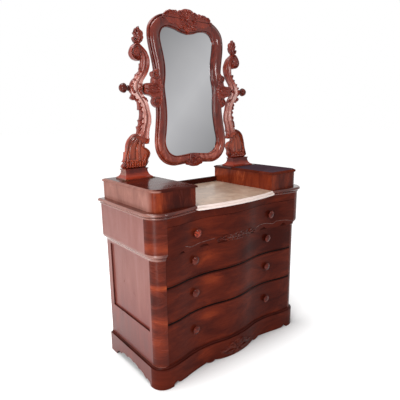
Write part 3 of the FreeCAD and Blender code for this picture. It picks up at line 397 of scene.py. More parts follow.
def polished_mahogany(name, tones, streak, figure, offset=(0, 0, 0), tone_patches=(), contrast=1.0,
                      grain=0.55, gloss=0.20, coat=0.0, level=0.05, cavity=0.0, pore=0.25,
                      sheen_tones=None, toward="X", slant=(0.80, 1.0)):
    """Mahogany veneer or solid, French polished. streak and figure are the sizes in mm of the
    grain lines and of the figure's patches along x, y and z. A tone patch is a patch of brighter
    or darker tone: x, z, its reach along both, and its strength; some are figure, and some paint
    light and shade. The tones given for the sheen paint a sheen of reflected light onto the faces
    that look outwards along toward, and slant how far a face turns to them."""
    material, tree = new_material(name)
    place = add(tree, "ShaderNodeTexCoord").outputs["Object"]
    shifted = add(tree, "ShaderNodeMapping", {"Vector": place, "Location": offset}).outputs[0]
    patches = add(tree, "ShaderNodeMapping",
                  {"Vector": shifted, "Scale": [1000 / s for s in figure]}).outputs[0]
    patch = add(tree, "ShaderNodeTexNoise",
                {"Vector": patches, "Scale": 1.0, "Detail": 4.0, "Roughness": 0.62,
                 "Distortion": 0.9}).outputs["Fac"]
    lines = add(tree, "ShaderNodeMapping",
                {"Vector": shifted, "Scale": [1000 / s for s in streak]}).outputs[0]
    bent = add(tree, "ShaderNodeVectorMath",
               {0: lines, 1: add(tree, "ShaderNodeCombineXYZ",
                                 {"X": patch, "Y": patch, "Z": patch}).outputs[0]},
               operation="ADD").outputs[0]
    line = add(tree, "ShaderNodeTexNoise",
               {"Vector": bent, "Scale": 1.0, "Detail": 3.0, "Roughness": 0.7}).outputs["Fac"]
    spread = add(tree, "ShaderNodeMapRange",
                 {"Value": patch, "From Min": 0.5 - 0.22 / contrast,
                  "From Max": 0.5 + 0.22 / contrast}, clamp=True).outputs[0]
    tone = add(tree, "ShaderNodeMath", {0: spread, 1: 0.62}, operation="MULTIPLY").outputs[0]
    tone = add(tree, "ShaderNodeMath", {0: line, 1: grain, 2: tone},
               operation="MULTIPLY_ADD").outputs[0]
    # Tone patches: figure, and in some finishes painted light and shade
    for x, z, reach_x, reach_z, strength in tone_patches:
        near = add(tree, "ShaderNodeVectorMath",
                   {0: place, 1: (x * MM, 0, z * MM)}, operation="SUBTRACT").outputs[0]
        near = add(tree, "ShaderNodeVectorMath",
                   {0: near, 1: (1000 / reach_x, 0, 1000 / reach_z)},
                   operation="MULTIPLY").outputs[0]
        near = add(tree, "ShaderNodeVectorMath", {0: near}, operation="LENGTH").outputs["Value"]
        near = add(tree, "ShaderNodeMapRange",
                   {"Value": near, "From Min": 0.1, "From Max": 1.0, "To Min": strength,
                    "To Max": 0.0}, interpolation_type="SMOOTHSTEP").outputs[0]
        tone = add(tree, "ShaderNodeMath", {0: tone, 1: near}, operation="ADD").outputs[0]
    colour = tone_ramp(tree, tone, tones)
    # Open pores are 0.2 mm wide; they are drawn 1.5 mm wide so that they show
    pores_at = add(tree, "ShaderNodeMapping",
                   {"Vector": shifted, "Scale": [1000 / max(1.5, s * 0.14) for s in streak]})
    pores = add(tree, "ShaderNodeTexNoise",
                {"Vector": pores_at.outputs[0], "Scale": 1.0, "Detail": 2.0}).outputs["Fac"]
    pores = add(tree, "ShaderNodeMapRange",
                {"Value": pores, "From Min": 0.56, "From Max": 0.70}, clamp=True).outputs[0]
    shade = add(tree, "ShaderNodeMath", {0: pores, 1: pore}, operation="MULTIPLY").outputs[0]
    if cavity:
        hollow = add(tree, "ShaderNodeNewGeometry").outputs["Pointiness"]
        hollow = add(tree, "ShaderNodeMapRange",
                     {"Value": hollow, "From Min": 0.50, "From Max": 0.42, "To Min": 0.0,
                      "To Max": cavity}, clamp=True).outputs[0]
        shade = add(tree, "ShaderNodeMath", {0: shade, 1: hollow}, operation="ADD",
                    use_clamp=True).outputs[0]
    colour = add(tree, "ShaderNodeMix",
                 {0: shade, 6: colour, 7: linear(tones[0][1])},
                 data_type="RGBA").outputs[2]
    # Painted sheen: faces that turn outwards along toward take the sheen tones, in place of reflected
    # light
    if sheen_tones:
        across = add(tree, "ShaderNodeNewGeometry").outputs["Normal"]
        across = add(tree, "ShaderNodeSeparateXYZ", {0: across}).outputs[toward]
        sheen_share = add(tree, "ShaderNodeSeparateXYZ", {0: place}).outputs[toward]
        sheen_share = add(tree, "ShaderNodeMath", {0: sheen_share}, operation="SIGN").outputs[0]
        sheen_share = add(tree, "ShaderNodeMath", {0: sheen_share, 1: across},
                      operation="MULTIPLY").outputs[0]
        sheen_share = add(tree, "ShaderNodeMapRange",
                      {"Value": sheen_share, "From Min": slant[0], "From Max": slant[1]},
                      clamp=True).outputs[0]
        colour = add(tree, "ShaderNodeMix",
                     {0: sheen_share, 6: colour, 7: tone_ramp(tree, tone, sheen_tones)},
                     data_type="RGBA").outputs[2]
    rough = add(tree, "ShaderNodeMapRange",
                {"Value": patch, "From Min": 0.3, "From Max": 0.7, "To Min": gloss - 0.04,
                 "To Max": gloss + 0.07}).outputs[0]
    ripple = add(tree, "ShaderNodeTexNoise",
                 {"Vector": shifted, "Scale": 14.0, "Detail": 1.0}).outputs["Fac"]
    uneven = add(tree, "ShaderNodeBump", {"Height": ripple, "Strength": 0.06, "Distance": 0.01})
    fine = add(tree, "ShaderNodeBump",
               {"Height": pores, "Strength": 0.12, "Distance": 0.0004,
                "Normal": uneven.outputs[0]}, invert=True)
    shader = add(tree, "ShaderNodeBsdfPrincipled",
                 {"Base Color": colour, "Roughness": rough, "Normal": fine.outputs[0],
                  "IOR": 1.5, "Specular IOR Level": level, "Coat Weight": coat,
                  "Coat Roughness": 0.10, "Coat IOR": 1.5})
    add(tree, "ShaderNodeOutputMaterial", {"Surface": shader.outputs[0]})
    return material


finishes = {}


def finish(name):
    """The finish of that name, mixed once."""
    if name not in finishes:
        finishes[name] = recipes[name]()
    return finishes[name]


front_tones = [(0.22, "#360f09"), (0.42, "#4a190f"), (0.60, "#5f2213"), (0.80, "#7a3019"),
               (1.0, "#a04a26")]
# Pale pinkish tones that paint the sheen of reflected light on faces turned to the sides
pale_sheen_tones = [(0.2, "#70433a"), (0.5, "#80544a"), (0.8, "#94655a")]


def flame_front(name, shift, tone_patches):
    """Crotch mahogany on a drawer front: smoky ends and a fiery middle, grain lying level."""
    return polished_mahogany(name, front_tones, (130, 130, 6), (220, 220, 80), shift, tone_patches,
                             contrast=0.55, grain=0.24, level=0.04)


# Crossbanded posts: short grain lies level, in patches as dark as chocolate and as bright as rust
def crossbanded_post():
    return polished_mahogany("crossbanded_mahogany", front_tones, (90, 90, 8), (200, 200, 70),
                             (0.31, 0.12, 0.57),
                             [(-520, 766, 200, 46, 0.34), (-520, 555, 200, 22, 0.30),
                              (-520, 485, 200, 60, -0.15), (-520, 370, 200, 60, 0.28),
                              (-520, 250, 200, 110, 0.14)],
                             contrast=0.7, grain=0.28, gloss=0.24, level=0.10)


# Crossbanded mouldings of the deck and under the frieze, with a painted pale sheen of reflected light
# where they turn to the sides
def crossbanded_moulding():
    return polished_mahogany("crossbanded_mahogany_moulding", front_tones, (90, 90, 5),
                             (160, 160, 40), (0.8, 0.3, 0.1), contrast=0.6, grain=0.3,
                             gloss=0.12, coat=0.5, level=0.15, sheen_tones=pale_sheen_tones,
                             slant=(0.25, 0.6))


# Plain quartered mahogany of the sides: quiet upright grain, with a painted rosy sheen of reflected
# light and painted shade darkening them towards the floor
def quartered_side():
    tones = [(0.2, "#3a120d"), (0.8, "#561d14")]
    rosy_sheen = [(0.05, "#581f18"), (0.25, "#6a2a21"), (0.45, "#784138"), (0.65, "#80504a")]
    return polished_mahogany("quartered_mahogany", tones, (5, 5, 220), (90, 90, 400),
                             tone_patches=[(-535, 0, 90000, 620, -0.45)], contrast=0.6, grain=0.35,
                             gloss=0.30, coat=0.10, level=0.26, sheen_tones=rosy_sheen, slant=(0.5, 0.9))


# Flame veneer of the glove boxes: upright flames that run from smoke to rust, and a painted pale sheen
# of reflected light on faces turned to the sides
def flame_box():
    return polished_mahogany("flame_mahogany_box", front_tones, (8, 8, 120), (70, 90, 200),
                             (0.7, 0.2, 0.1),
                             [(-505, 990, 80, 300, 0.26), (-360, 990, 110, 300, -0.26),
                              (300, 990, 60, 300, 0.3)],
                             contrast=0.7, grain=0.3, gloss=0.22, level=0.07,
                             sheen_tones=pale_sheen_tones)


# Straight-grained mahogany of tops and rails, nearly black-red, and a painted pale sheen of reflected
# light on faces turned to the sides
def dark_mahogany():
    tones = [(0.2, "#260b07"), (0.5, "#3c140d"), (0.85, "#501c13")]
    return polished_mahogany("dark_mahogany", tones, (240, 6, 6), (300, 50, 50),
                             contrast=0.7, grain=0.4, gloss=0.12, level=0.06,
                             sheen_tones=pale_sheen_tones, slant=(0.2, 0.4))


# The hollow moulding on the base: the same wood, never rubbed, dark all round
def base_hollow():
    tones = [(0.2, "#260a06"), (0.5, "#3e130b"), (0.85, "#521b11")]
    return polished_mahogany("hollow_moulding_mahogany", tones, (90, 90, 6), (200, 200, 40),
                             contrast=0.6, grain=0.3, gloss=0.22, level=0.05)


# Edges of the dividers: dark red, painted nearly black along their tops as shade under each drawer above
def divider_edge():
    tones = [(0.0, "#0e0403"), (0.35, "#3a130c"), (0.8, "#521c12")]
    return polished_mahogany("divider_edge_mahogany", tones, (240, 6, 6), (300, 50, 50),
                             tone_patches=[(0, 355, 90000, 9, -1.2), (0, 551, 90000, 9, -1.2)],
                             contrast=0.6, grain=0.3, gloss=0.3, level=0.02)


# Lid with a painted bluish reflection on its flat top, and reddish brown on its slopes
def lid_painted_reflection_mahogany():
    tones = [(0.2, "#43180f"), (0.5, "#5a251a"), (0.85, "#743525")]
    bluish_reflection = [(0.2, "#3c2a30"), (0.5, "#4c3a42"), (0.85, "#5a4850")]
    return polished_mahogany("lid_painted_reflection_mahogany", tones, (240, 6, 6), (300, 80, 80),
                             contrast=0.6, grain=0.3, gloss=0.40, level=0.0, sheen_tones=bluish_reflection,
                             toward="Z", slant=(0.97, 0.995))


# Rubbed arrises: the edges of fronts, worn round and shiny from hands; their lighter tones are partly
# wear and partly painted highlight
def rubbed_edge_with_highlight():
    tones = [(0.2, "#6a2c1c"), (0.5, "#82402c"), (0.8, "#9c5a44")]
    return polished_mahogany("rubbed_mahogany_edge_painted_highlight", tones, (40, 40, 6), (60, 60, 60),
                             gloss=0.12, coat=0.3, level=0.3)


# Carved mahogany: warm red on the high places, old polish left dark in the hollows
def carved_mahogany():
    tones = [(0.2, "#3a100a"), (0.5, "#6c2014"), (0.85, "#8c341e"), (1.0, "#a8482c")]
    return polished_mahogany("carved_mahogany", tones, (6, 30, 60), (60, 60, 120),
                             tone_patches=[(-375, 1190, 150, 140, 0.48), (375, 1190, 150, 140, 0.48)],
                             contrast=0.7, gloss=0.17, coat=0.16, level=0.26, cavity=0.85)


# Hollow band of the standards: its pale rosy tones paint a reflection of light on the column, fading to
# red towards the head
def band_with_painted_reflection():
    tones = [(0.25, "#7c2e20"), (0.5, "#9c5448"), (0.8, "#c08e84"), (1.0, "#cfa8a0")]
    return polished_mahogany("mahogany_band_painted_reflection", tones, (6, 30, 60), (60, 60, 120),
                             tone_patches=[(0, 1515, 90000, 110, 0.38), (0, 1400, 90000, 170, 0.24),
                                     (0, 1690, 90000, 130, -0.3)],
                             contrast=0.5, grain=0.2, gloss=0.20, coat=0.2, level=0.3)


# Moulded mirror frame: dark red, polished to sharp lights along its rolls, with a painted pale
# reflection on its lower part
def frame_mahogany():
    tones = [(0.2, "#2e0c08"), (0.5, "#5e1c12"), (0.85, "#80301e"), (1.0, "#a85a4a")]
    return polished_mahogany("frame_mahogany", tones, (6, 30, 60), (60, 60, 120),
                             tone_patches=[(0, 1150, 90000, 240, 0.34)], contrast=0.7, grain=0.4,
                             gloss=0.11, coat=0.24, level=0.22, cavity=0.9)


# Plinth blocks under the standards: rusty red, grain lying level, and a painted pale sheen of reflected
# light on faces turned to the sides
def block_mahogany():
    tones = [(0.2, "#3e120c"), (0.5, "#60201a"), (0.85, "#8c301c")]
    return polished_mahogany("plinth_block_mahogany", tones, (60, 60, 6), (80, 80, 40),
                             tone_patches=[(0, 1062, 90000, 24, 0.4)], contrast=0.6, grain=0.3,
                             gloss=0.20, coat=0.08, level=0.15, sheen_tones=pale_sheen_tones)


# Low carving on the case: as dark as the veneer round it, with a faint shine on its ridges
def shadowed_carving():
    tones = [(0.2, "#2c0c07"), (0.5, "#48160d"), (0.85, "#642615")]
    return polished_mahogany("shadowed_carved_mahogany", tones, (6, 30, 60), (60, 60, 80),
                             contrast=0.7, gloss=0.16, coat=0.05, level=0.12, cavity=0.7)


# Fine scroll lines on the lip: ridges painted pale as their highlight
def ridges_with_painted_highlight():
    tones = [(0.2, "#3c1e1a"), (0.5, "#543430"), (0.85, "#72504a")]
    return polished_mahogany("mahogany_ridges_painted_highlight", tones, (40, 40, 6), (30, 30, 30),
                             gloss=0.2, coat=0.05, level=0.2)


# Turned mahogany of the knobs: tight grain and a bright polish, and a painted highlight on the top
# drawer's left knob
def turned_mahogany():
    tones = [(0.2, "#230905"), (0.5, "#45130b"), (0.85, "#6a220d"), (1.0, "#b4402a")]
    return polished_mahogany("turned_mahogany", tones, (12, 30, 5), (30, 30, 22),
                             tone_patches=[(-281, 803, 60, 60, 0.24)], gloss=0.08, coat=0.12,
                             level=0.12)


# Sawn pine inside drawers and behind the case: dry, dusty and browned with age
def aged_pine():
    material, tree = new_material("aged_pine")
    place = add(tree, "ShaderNodeTexCoord").outputs["Object"]
    # Growth rings 5 mm apart along the board
    grain = add(tree, "ShaderNodeMapping", {"Vector": place, "Scale": (6, 200, 200)}).outputs[0]
    rings = add(tree, "ShaderNodeTexNoise",
                {"Vector": grain, "Scale": 1.0, "Detail": 3.0, "Distortion": 0.6}).outputs["Fac"]
    stain = add(tree, "ShaderNodeTexNoise", {"Vector": place, "Scale": 5.0}).outputs["Fac"]
    mixed = add(tree, "ShaderNodeMath", {0: stain, 1: 0.4, 2: rings},
                operation="MULTIPLY_ADD").outputs[0]
    colour = tone_ramp(tree, mixed, [(0.4, "#6b4526"), (0.7, "#9a6c3f"), (0.95, "#b98a58")])
    saw = add(tree, "ShaderNodeBump", {"Height": rings, "Strength": 0.25, "Distance": 0.0006})
    shader = add(tree, "ShaderNodeBsdfPrincipled",
                 {"Base Color": colour, "Roughness": 0.72, "Normal": saw.outputs[0]})
    add(tree, "ShaderNodeOutputMaterial", {"Surface": shader.outputs[0]})
    return material


# Honed cream marble: brownish clouds on the top, and paler on every face that does not face straight up
def cream_marble():
    material, tree = new_material("cream_marble")
    place = add(tree, "ShaderNodeTexCoord").outputs["Object"]
    # Clouds 90 mm across, thin veins about 2 mm wide
    cloud = add(tree, "ShaderNodeTexNoise",
                {"Vector": place, "Scale": 11.0, "Detail": 5.0, "Roughness": 0.6,
                 "Distortion": 0.8}).outputs["Fac"]
    top = tone_ramp(tree, cloud, [(0.3, "#a58c78"), (0.5, "#b59a85"), (0.7, "#c8b19d")])
    vein = add(tree, "ShaderNodeTexNoise",
               {"Vector": place, "Scale": 7.0, "Detail": 6.0, "Distortion": 2.5}).outputs["Fac"]
    vein = add(tree, "ShaderNodeMath", {0: vein, 1: 0.5}, operation="SUBTRACT").outputs[0]
    vein = add(tree, "ShaderNodeMath", {0: vein}, operation="ABSOLUTE").outputs[0]
    vein = add(tree, "ShaderNodeMapRange",
               {"Value": vein, "From Min": 0.0, "From Max": 0.03, "To Min": 0.35, "To Max": 0.0},
               clamp=True).outputs[0]
    top = add(tree, "ShaderNodeMix", {0: vein, 6: top, 7: linear("#6e5646")},
              data_type="RGBA").outputs[2]
    facing = add(tree, "ShaderNodeNewGeometry").outputs["Normal"]
    facing = add(tree, "ShaderNodeSeparateXYZ", {0: facing}).outputs["Z"]
    facing = add(tree, "ShaderNodeMapRange",
                 {"Value": facing, "From Min": 0.80, "From Max": 0.995}, clamp=True).outputs[0]
    colour = add(tree, "ShaderNodeMix", {0: facing, 6: linear("#e2cfc8"), 7: top},
                 data_type="RGBA").outputs[2]
    rough = add(tree, "ShaderNodeMapRange", {"Value": cloud, "To Min": 0.22, "To Max": 0.42})
    grit = add(tree, "ShaderNodeBump", {"Height": cloud, "Strength": 0.05, "Distance": 0.001})
    shader = add(tree, "ShaderNodeBsdfPrincipled",
                 {"Base Color": colour, "Roughness": rough.outputs[0],
                  "Normal": grit.outputs[0], "IOR": 1.5})
    add(tree, "ShaderNodeOutputMaterial", {"Surface": shader.outputs[0]})
    return material


# Old silvered plate glass: a grey mirror, with a painted reflection that is lighter along a diagonal
def silvered_glass():
    material, tree = new_material("silvered_glass")
    place = add(tree, "ShaderNodeTexCoord").outputs["Object"]
    cloud = add(tree, "ShaderNodeTexNoise", {"Vector": place, "Scale": 3.0, "Detail": 2.0})
    silver = bpy.context.scene.dresser_colours.glass_silver
    code = "#" + "".join("%02x" % round(c * 255) for c in silver)
    colour = tone_ramp(tree, cloud.outputs["Fac"], [(0.3, "#bebec0"), (0.7, code)])
    # Painted reflection: darker grey towards the upper left and the lower right corner
    along = add(tree, "ShaderNodeVectorMath",
                {0: place, 1: (0.707, 0, -0.707)}, operation="DOT_PRODUCT").outputs["Value"]
    along = add(tree, "ShaderNodeMath", {0: along, 1: 1.06}, operation="ADD").outputs[0]
    along = add(tree, "ShaderNodeMath", {0: along}, operation="ABSOLUTE").outputs[0]
    reflection_darkening = add(tree, "ShaderNodeMapRange",
               {"Value": along, "From Min": 0.02, "From Max": 0.40, "To Min": 0.0,
                "To Max": 0.75}, clamp=True).outputs[0]
    colour = add(tree, "ShaderNodeMix", {0: reflection_darkening, 6: colour, 7: linear("#707072")},
                 data_type="RGBA").outputs[2]
    shader = add(tree, "ShaderNodeBsdfPrincipled",
                 {"Base Color": colour, "Metallic": 1.0, "Roughness": 0.04})
    add(tree, "ShaderNodeOutputMaterial", {"Surface": shader.outputs[0]})
    return material


# Cast brass gone brown: dull, with tarnish in random patches
def aged_brass():
    material, tree = new_material("aged_brass")
    place = add(tree, "ShaderNodeTexCoord").outputs["Object"]
    tarnish = add(tree, "ShaderNodeTexNoise",
                  {"Vector": place, "Scale": 160.0, "Detail": 4.0}).outputs["Fac"]
    colour = tone_ramp(tree, tarnish, [(0.35, "#22160b"), (0.65, "#584020")])
    rough = add(tree, "ShaderNodeMapRange", {"Value": tarnish, "To Min": 0.3, "To Max": 0.6})
    shader = add(tree, "ShaderNodeBsdfPrincipled",
                 {"Base Color": colour, "Metallic": 1.0, "Roughness": rough.outputs[0]})
    add(tree, "ShaderNodeOutputMaterial", {"Surface": shader.outputs[0]})
    return material


recipes = {
    "frieze_drawer": lambda: flame_front("flame_mahogany_top_drawer", (0.0, 0.0, 0.3),
                                         [(-230, 850, 150, 60, 0.16), (-420, 800, 120, 90, -0.14),
                                          (330, 800, 160, 90, -0.16)]),
    "second_drawer": lambda: flame_front("flame_mahogany_second_drawer", (1.3, 0.0, 0.9),
                                         [(-205, 640, 110, 80, 0.22), (95, 620, 130, 90, -0.2),
                                          (340, 630, 240, 120, -0.3)]),
    "third_drawer": lambda: flame_front("flame_mahogany_third_drawer", (2.1, 0.0, 1.7),
                                        [(-160, 505, 120, 50, 0.28), (330, 450, 180, 120, -0.12)]),
    "bottom_drawer": lambda: flame_front("flame_mahogany_bottom_drawer", (3.7, 0.0, 2.2),
                                         [(-175, 300, 120, 60, 0.24), (300, 230, 220, 140, -0.12)]),
    "plinth": lambda: flame_front("flame_mahogany_plinth", (4.4, 0.0, 0.8),
                                  [(-220, 70, 100, 50, 0.2)]),
    "post": crossbanded_post,
    "moulding": crossbanded_moulding,
    "side": quartered_side,
    "box": flame_box,
    "dark": dark_mahogany,
    "divider": divider_edge,
    "hollow": base_hollow,
    "lid_reflection": lid_painted_reflection_mahogany,
    "edge": rubbed_edge_with_highlight,
    "ridge_highlight": ridges_with_painted_highlight,
    "carved": carved_mahogany,
    "band": band_with_painted_reflection,
    "frame": frame_mahogany,
    "block": block_mahogany,
    "shadowed": shadowed_carving,
    "turned": turned_mahogany,
    "pine": aged_pine,
    "marble": cream_marble,
    "glass": silvered_glass,
    "brass": aged_brass,
}


def dress(finish_name, *names):
    """Give CAD nodes a finish."""
    for name in names:
        slots = nodes[name].material_slots
        for slot in slots:
            slot.material = finish(finish_name)
        if not slots:
            nodes[name].data.materials.append(finish(finish_name))


def ease_edges(*names):
    """Wear a small shiny radius onto the sharp edges of CAD nodes, partly painted as a highlight."""
    for name in names:
        nodes[name].data.materials.append(finish("edge"))
        bevel = nodes[name].modifiers.new("worn_edges", "BEVEL")
        bevel.width = bpy.context.scene.dresser_sizes.edge_wear
        bevel.segments = 2
        bevel.limit_method = "ANGLE"
        bevel.angle_limit = math.radians(40)
        bevel.material = len(nodes[name].material_slots) - 1


# Outlines of the carved pieces, as shares of their sizes

frame_outline = [
    (0, -0.985), (0.235, -0.99), (0.40, -0.998), (0.56, -1.0), (0.73, -0.968), (0.86, -0.905),
    (0.94, -0.824), (0.971, -0.748), (0.975, -0.657), (0.957, -0.565), (0.928, -0.449),
    (0.903, -0.333), (0.895, -0.243), (0.89, -0.12), (0.89, 0.02), (0.895, 0.14),
    (0.91, 0.26), (0.931, 0.354), (0.964, 0.463), (0.989, 0.556), (1.0, 0.648), (0.982, 0.741),
    (0.92, 0.815), (0.816, 0.875), (0.686, 0.919), (0.54, 0.944), (0.36, 0.958), (0.18, 0.965),
    (0, 0.966),
]
opening_outline = [
    (0, -0.984), (0.13, -0.984), (0.36, -0.995), (0.656, -1.0), (0.872, -0.949), (0.98, -0.861),
    (1.01, -0.762), (0.959, -0.62), (0.913, -0.455), (0.897, -0.321), (0.903, -0.174),
    (0.923, -0.04), (0.923, 0.059), (0.882, 0.176), (0.867, 0.294), (0.877, 0.388),
    (0.913, 0.508), (0.959, 0.62), (0.99, 0.727), (0.959, 0.807), (0.862, 0.872),
    (0.687, 0.901), (0.436, 0.885), (0.22, 0.85), (0, 0.831),
]
standard_outline = [
    [(0.268, 0), (0.925, 0)],
    [(0.925, 0), (0.978, 0.012), (0.985, 0.024), (0.95, 0.038), (0.905, 0.052)],
    [(0.905, 0.052), (0.95, 0.058)],
    [(0.95, 0.058), (0.908, 0.08), (0.89, 0.11), (0.882, 0.138)],
    [(0.882, 0.138), (0.835, 0.143)],
    [(0.835, 0.143), (0.826, 0.175), (0.805, 0.205), (0.751, 0.238), (0.65, 0.27),
     (0.563, 0.284), (0.478, 0.286)],
    [(0.478, 0.286), (0.457, 0.315), (0.475, 0.342)],
    [(0.475, 0.342), (0.42, 0.352), (0.40, 0.372), (0.425, 0.394)],
    [(0.425, 0.394), (0.375, 0.408), (0.355, 0.44), (0.352, 0.472)],
    [(0.352, 0.472), (0.412, 0.478)],
    [(0.412, 0.478), (0.405, 0.51), (0.42, 0.543), (0.46, 0.556)],
    [(0.46, 0.556), (0.56, 0.556), (0.635, 0.572)],
    [(0.635, 0.572), (0.60, 0.588), (0.572, 0.604)],
    [(0.572, 0.604), (0.622, 0.622), (0.63, 0.65), (0.60, 0.685), (0.551, 0.711),
     (0.455, 0.738)],
    [(0.455, 0.738), (0.432, 0.762)],
    [(0.432, 0.762), (0.37, 0.776), (0.315, 0.795), (0.302, 0.822), (0.302, 0.848)],
    [(0.302, 0.848), (0.225, 0.858), (0.24, 0.876)],
    [(0.24, 0.876), (0.31, 0.868), (0.40, 0.866), (0.52, 0.879), (0.586, 0.91), (0.58, 0.94),
     (0.52, 0.975), (0.43, 1.0)],
    [(0.43, 1.0), (0.33, 1.0)],
    [(0.33, 1.0), (0.255, 0.982), (0.131, 0.949), (0.041, 0.893), (0.026, 0.859),
     (0.053, 0.816), (0.127, 0.764), (0.25, 0.712), (0.272, 0.69), (0.293, 0.65),
     (0.293, 0.622), (0.255, 0.598), (0.19, 0.569), (0.129, 0.529), (0.087, 0.471),
     (0.05, 0.422), (0.054, 0.37), (0.10, 0.332), (0.131, 0.287)],
    [(0.131, 0.287), (0.105, 0.268)],
    [(0.105, 0.268), (0.15, 0.254), (0.142, 0.225), (0.113, 0.198)],
    [(0.113, 0.198), (0.21, 0.193), (0.31, 0.203)],
    [(0.31, 0.203), (0.33, 0.188), (0.318, 0.172)],
    [(0.318, 0.172), (0.25, 0.166), (0.168, 0.151), (0.118, 0.118), (0.145, 0.092)],
    [(0.145, 0.092), (0.178, 0.075), (0.175, 0.055), (0.16, 0.044)],
    [(0.16, 0.044), (0.20, 0.022), (0.268, 0)],
]
finial_outline = [
    [(0.38, 0), (0.79, 0)],
    [(0.79, 0), (0.80, 0.08), (0.88, 0.13), (1.0, 0.185)],
    [(1.0, 0.185), (0.88, 0.27), (0.86, 0.36), (0.875, 0.45), (0.82, 0.60), (0.905, 0.705)],
    [(0.905, 0.705), (0.74, 0.76), (0.62, 0.795), (0.53, 0.865), (0.59, 0.975)],
    [(0.59, 0.975), (0.50, 1.0), (0.39, 0.95), (0.20, 0.85), (0.02, 0.77), (-0.05, 0.61),
     (0.0, 0.44), (0.05, 0.28)],
    [(0.05, 0.28), (0.13, 0.18), (0.25, 0.165), (0.37, 0.15), (0.39, 0.08), (0.38, 0)],
]
crest_outline = [
    [(0, 0), (0.10, 0.06), (0.18, 0.17), (0.30, 0.13), (0.42, 0.26), (0.52, 0.30)],
    [(0.52, 0.30), (0.66, 0.28), (0.82, 0.38), (0.96, 0.52)],
    [(0.96, 0.52), (0.95, 0.58), (0.90, 0.64), (0.84, 0.71), (0.76, 0.81)],
    [(0.76, 0.81), (0.68, 0.86), (0.60, 0.83)],
    [(0.60, 0.83), (0.52, 0.86), (0.44, 0.88), (0.40, 0.80)],
    [(0.40, 0.80), (0.36, 0.87), (0.29, 0.90), (0.24, 0.86)],
    [(0.24, 0.86), (0.20, 0.94), (0.11, 0.99), (0, 1.0)],
]
bottom_outline = [
    [(0, 0), (0.20, 0.01), (0.36, 0.09), (0.52, 0.13)],
    [(0.52, 0.13), (0.60, 0.22), (0.66, 0.34), (0.70, 0.44)],
    [(0.70, 0.44), (0.66, 0.56), (0.56, 0.64), (0.44, 0.72)],
    [(0.44, 0.72), (0.30, 0.92), (0.14, 0.98), (0, 1.0)],
]
ear_outline = [
    [(1.0, -0.16), (1.0, 0.17)],
    [(1.0, 0.17), (0.93, 0.25), (0.80, 0.275), (0.66, 0.28), (0.555, 0.315)],
    [(0.555, 0.315), (0.525, 0.40), (0.515, 0.50), (0.47, 0.58)],
    [(0.47, 0.58), (0.535, 0.66), (0.55, 0.76), (0.505, 0.86), (0.40, 0.89)],
    [(0.40, 0.89), (0.30, 1.0), (0.18, 0.86), (0.12, 0.66), (0.16, 0.44)],
    [(0.16, 0.44), (0.02, 0.24), (0.0, 0.04), (0.10, -0.20)],
    [(0.10, -0.20), (0.08, -0.46), (0.14, -0.72), (0.30, -0.94)],
    [(0.30, -0.94), (0.42, -0.90), (0.52, -0.82), (0.575, -0.72), (0.60, -0.60), (0.545, -0.46)],
    [(0.545, -0.46), (0.555, -0.40), (0.65, -0.345), (0.80, -0.31), (0.92, -0.27), (1.0, -0.16)],
]
apron_outline = [
    (0, 0), (0.14, 0.03), (0.26, 0.13), (0.40, 0.10), (0.52, 0.20), (0.66, 0.20), (0.74, 0.34),
    (0.92, 0.38), (1.0, 0.52), (0.90, 0.60), (0.78, 0.60), (0.70, 0.76), (0.54, 0.74),
    (0.44, 0.90), (0.28, 0.84), (0.16, 0.96), (0, 1.0),
]


def outline_by_angle(outline, half_width, half_height, count):
    """Points of a closed outline at even angles round its middle."""
    line = smooth(outline, 8)
    marks = [(math.atan2(v, u), math.hypot(u, v)) for u, v in line]
    points = []
    for k in range(count):
        angle = -math.pi / 2 + k * math.tau / count
        mirrored = math.cos(angle) < -1e-9
        look = math.pi - angle if mirrored else angle
        while look > math.pi / 2 + 1e-9:
            look -= math.tau
        reach = None
        for (a0, r0), (a1, r1) in zip(marks, marks[1:]):
            if a0 <= look <= a1:
                share = (look - a0) / ((a1 - a0) or 1.0)
                reach = r0 + (r1 - r0) * share
                break
        if reach is None:
            reach = marks[0][1] if look < 0 else marks[-1][1]
        u = reach * math.cos(look)
        points.append((-u * half_width if mirrored else u * half_width,
                       reach * math.sin(look) * half_height))
    return points


def scaled(runs, x, z, width, height):
    """Runs of an outline in real sizes."""
    return [[(x + u * width, z + v * height) for u, v in run] for run in runs]


# Operators

class DRESSER_OT_case(bpy.types.Operator):
    """Polish the lower case, the frieze tier, the base and the deck"""
    bl_idname = "dresser.case"
    bl_label = "Case"

    def execute(self, context):
        dress("side", "base_side_left", "base_side_right", "side_frame_left",
              "side_frame_right", "side_panels", "frieze_side_left", "frieze_side_right")
        dress("moulding", "transition_moulding", "deck_moulding")
        dress("post", "corner_post_left", "corner_post_right", "frieze_posts")
        dress("plinth", "base_front")
        dress("third_drawer", "frieze_rail")
        dress("hollow", "base_moulding")
        dress("dark", "back_rail", "bottom_board")
        dress("divider", "drawer_dividers")
        dress("pine", "base_back", "back_boards", "drawer_runners", "deck_board")
        ease_edges("corner_post_left", "corner_post_right", "frieze_posts", "back_rail")
        return {"FINISHED"}


class DRESSER_OT_drawers(bpy.types.Operator):
    """Veneer the drawer fronts, and finish their boxes and turned knobs"""
    bl_idname = "dresser.drawers"
    bl_label = "Drawers"

    def execute(self, context):
        for number, veneer in enumerate(("frieze_drawer", "second_drawer", "third_drawer",
                                         "bottom_drawer"), 1):
            drawer = "drawer_%d_" % number
            dress(veneer, drawer + "front")
            dress("pine", drawer + "box")
            dress("turned", drawer + "knobs")
            ease_edges(drawer + "front")
        return {"FINISHED"}


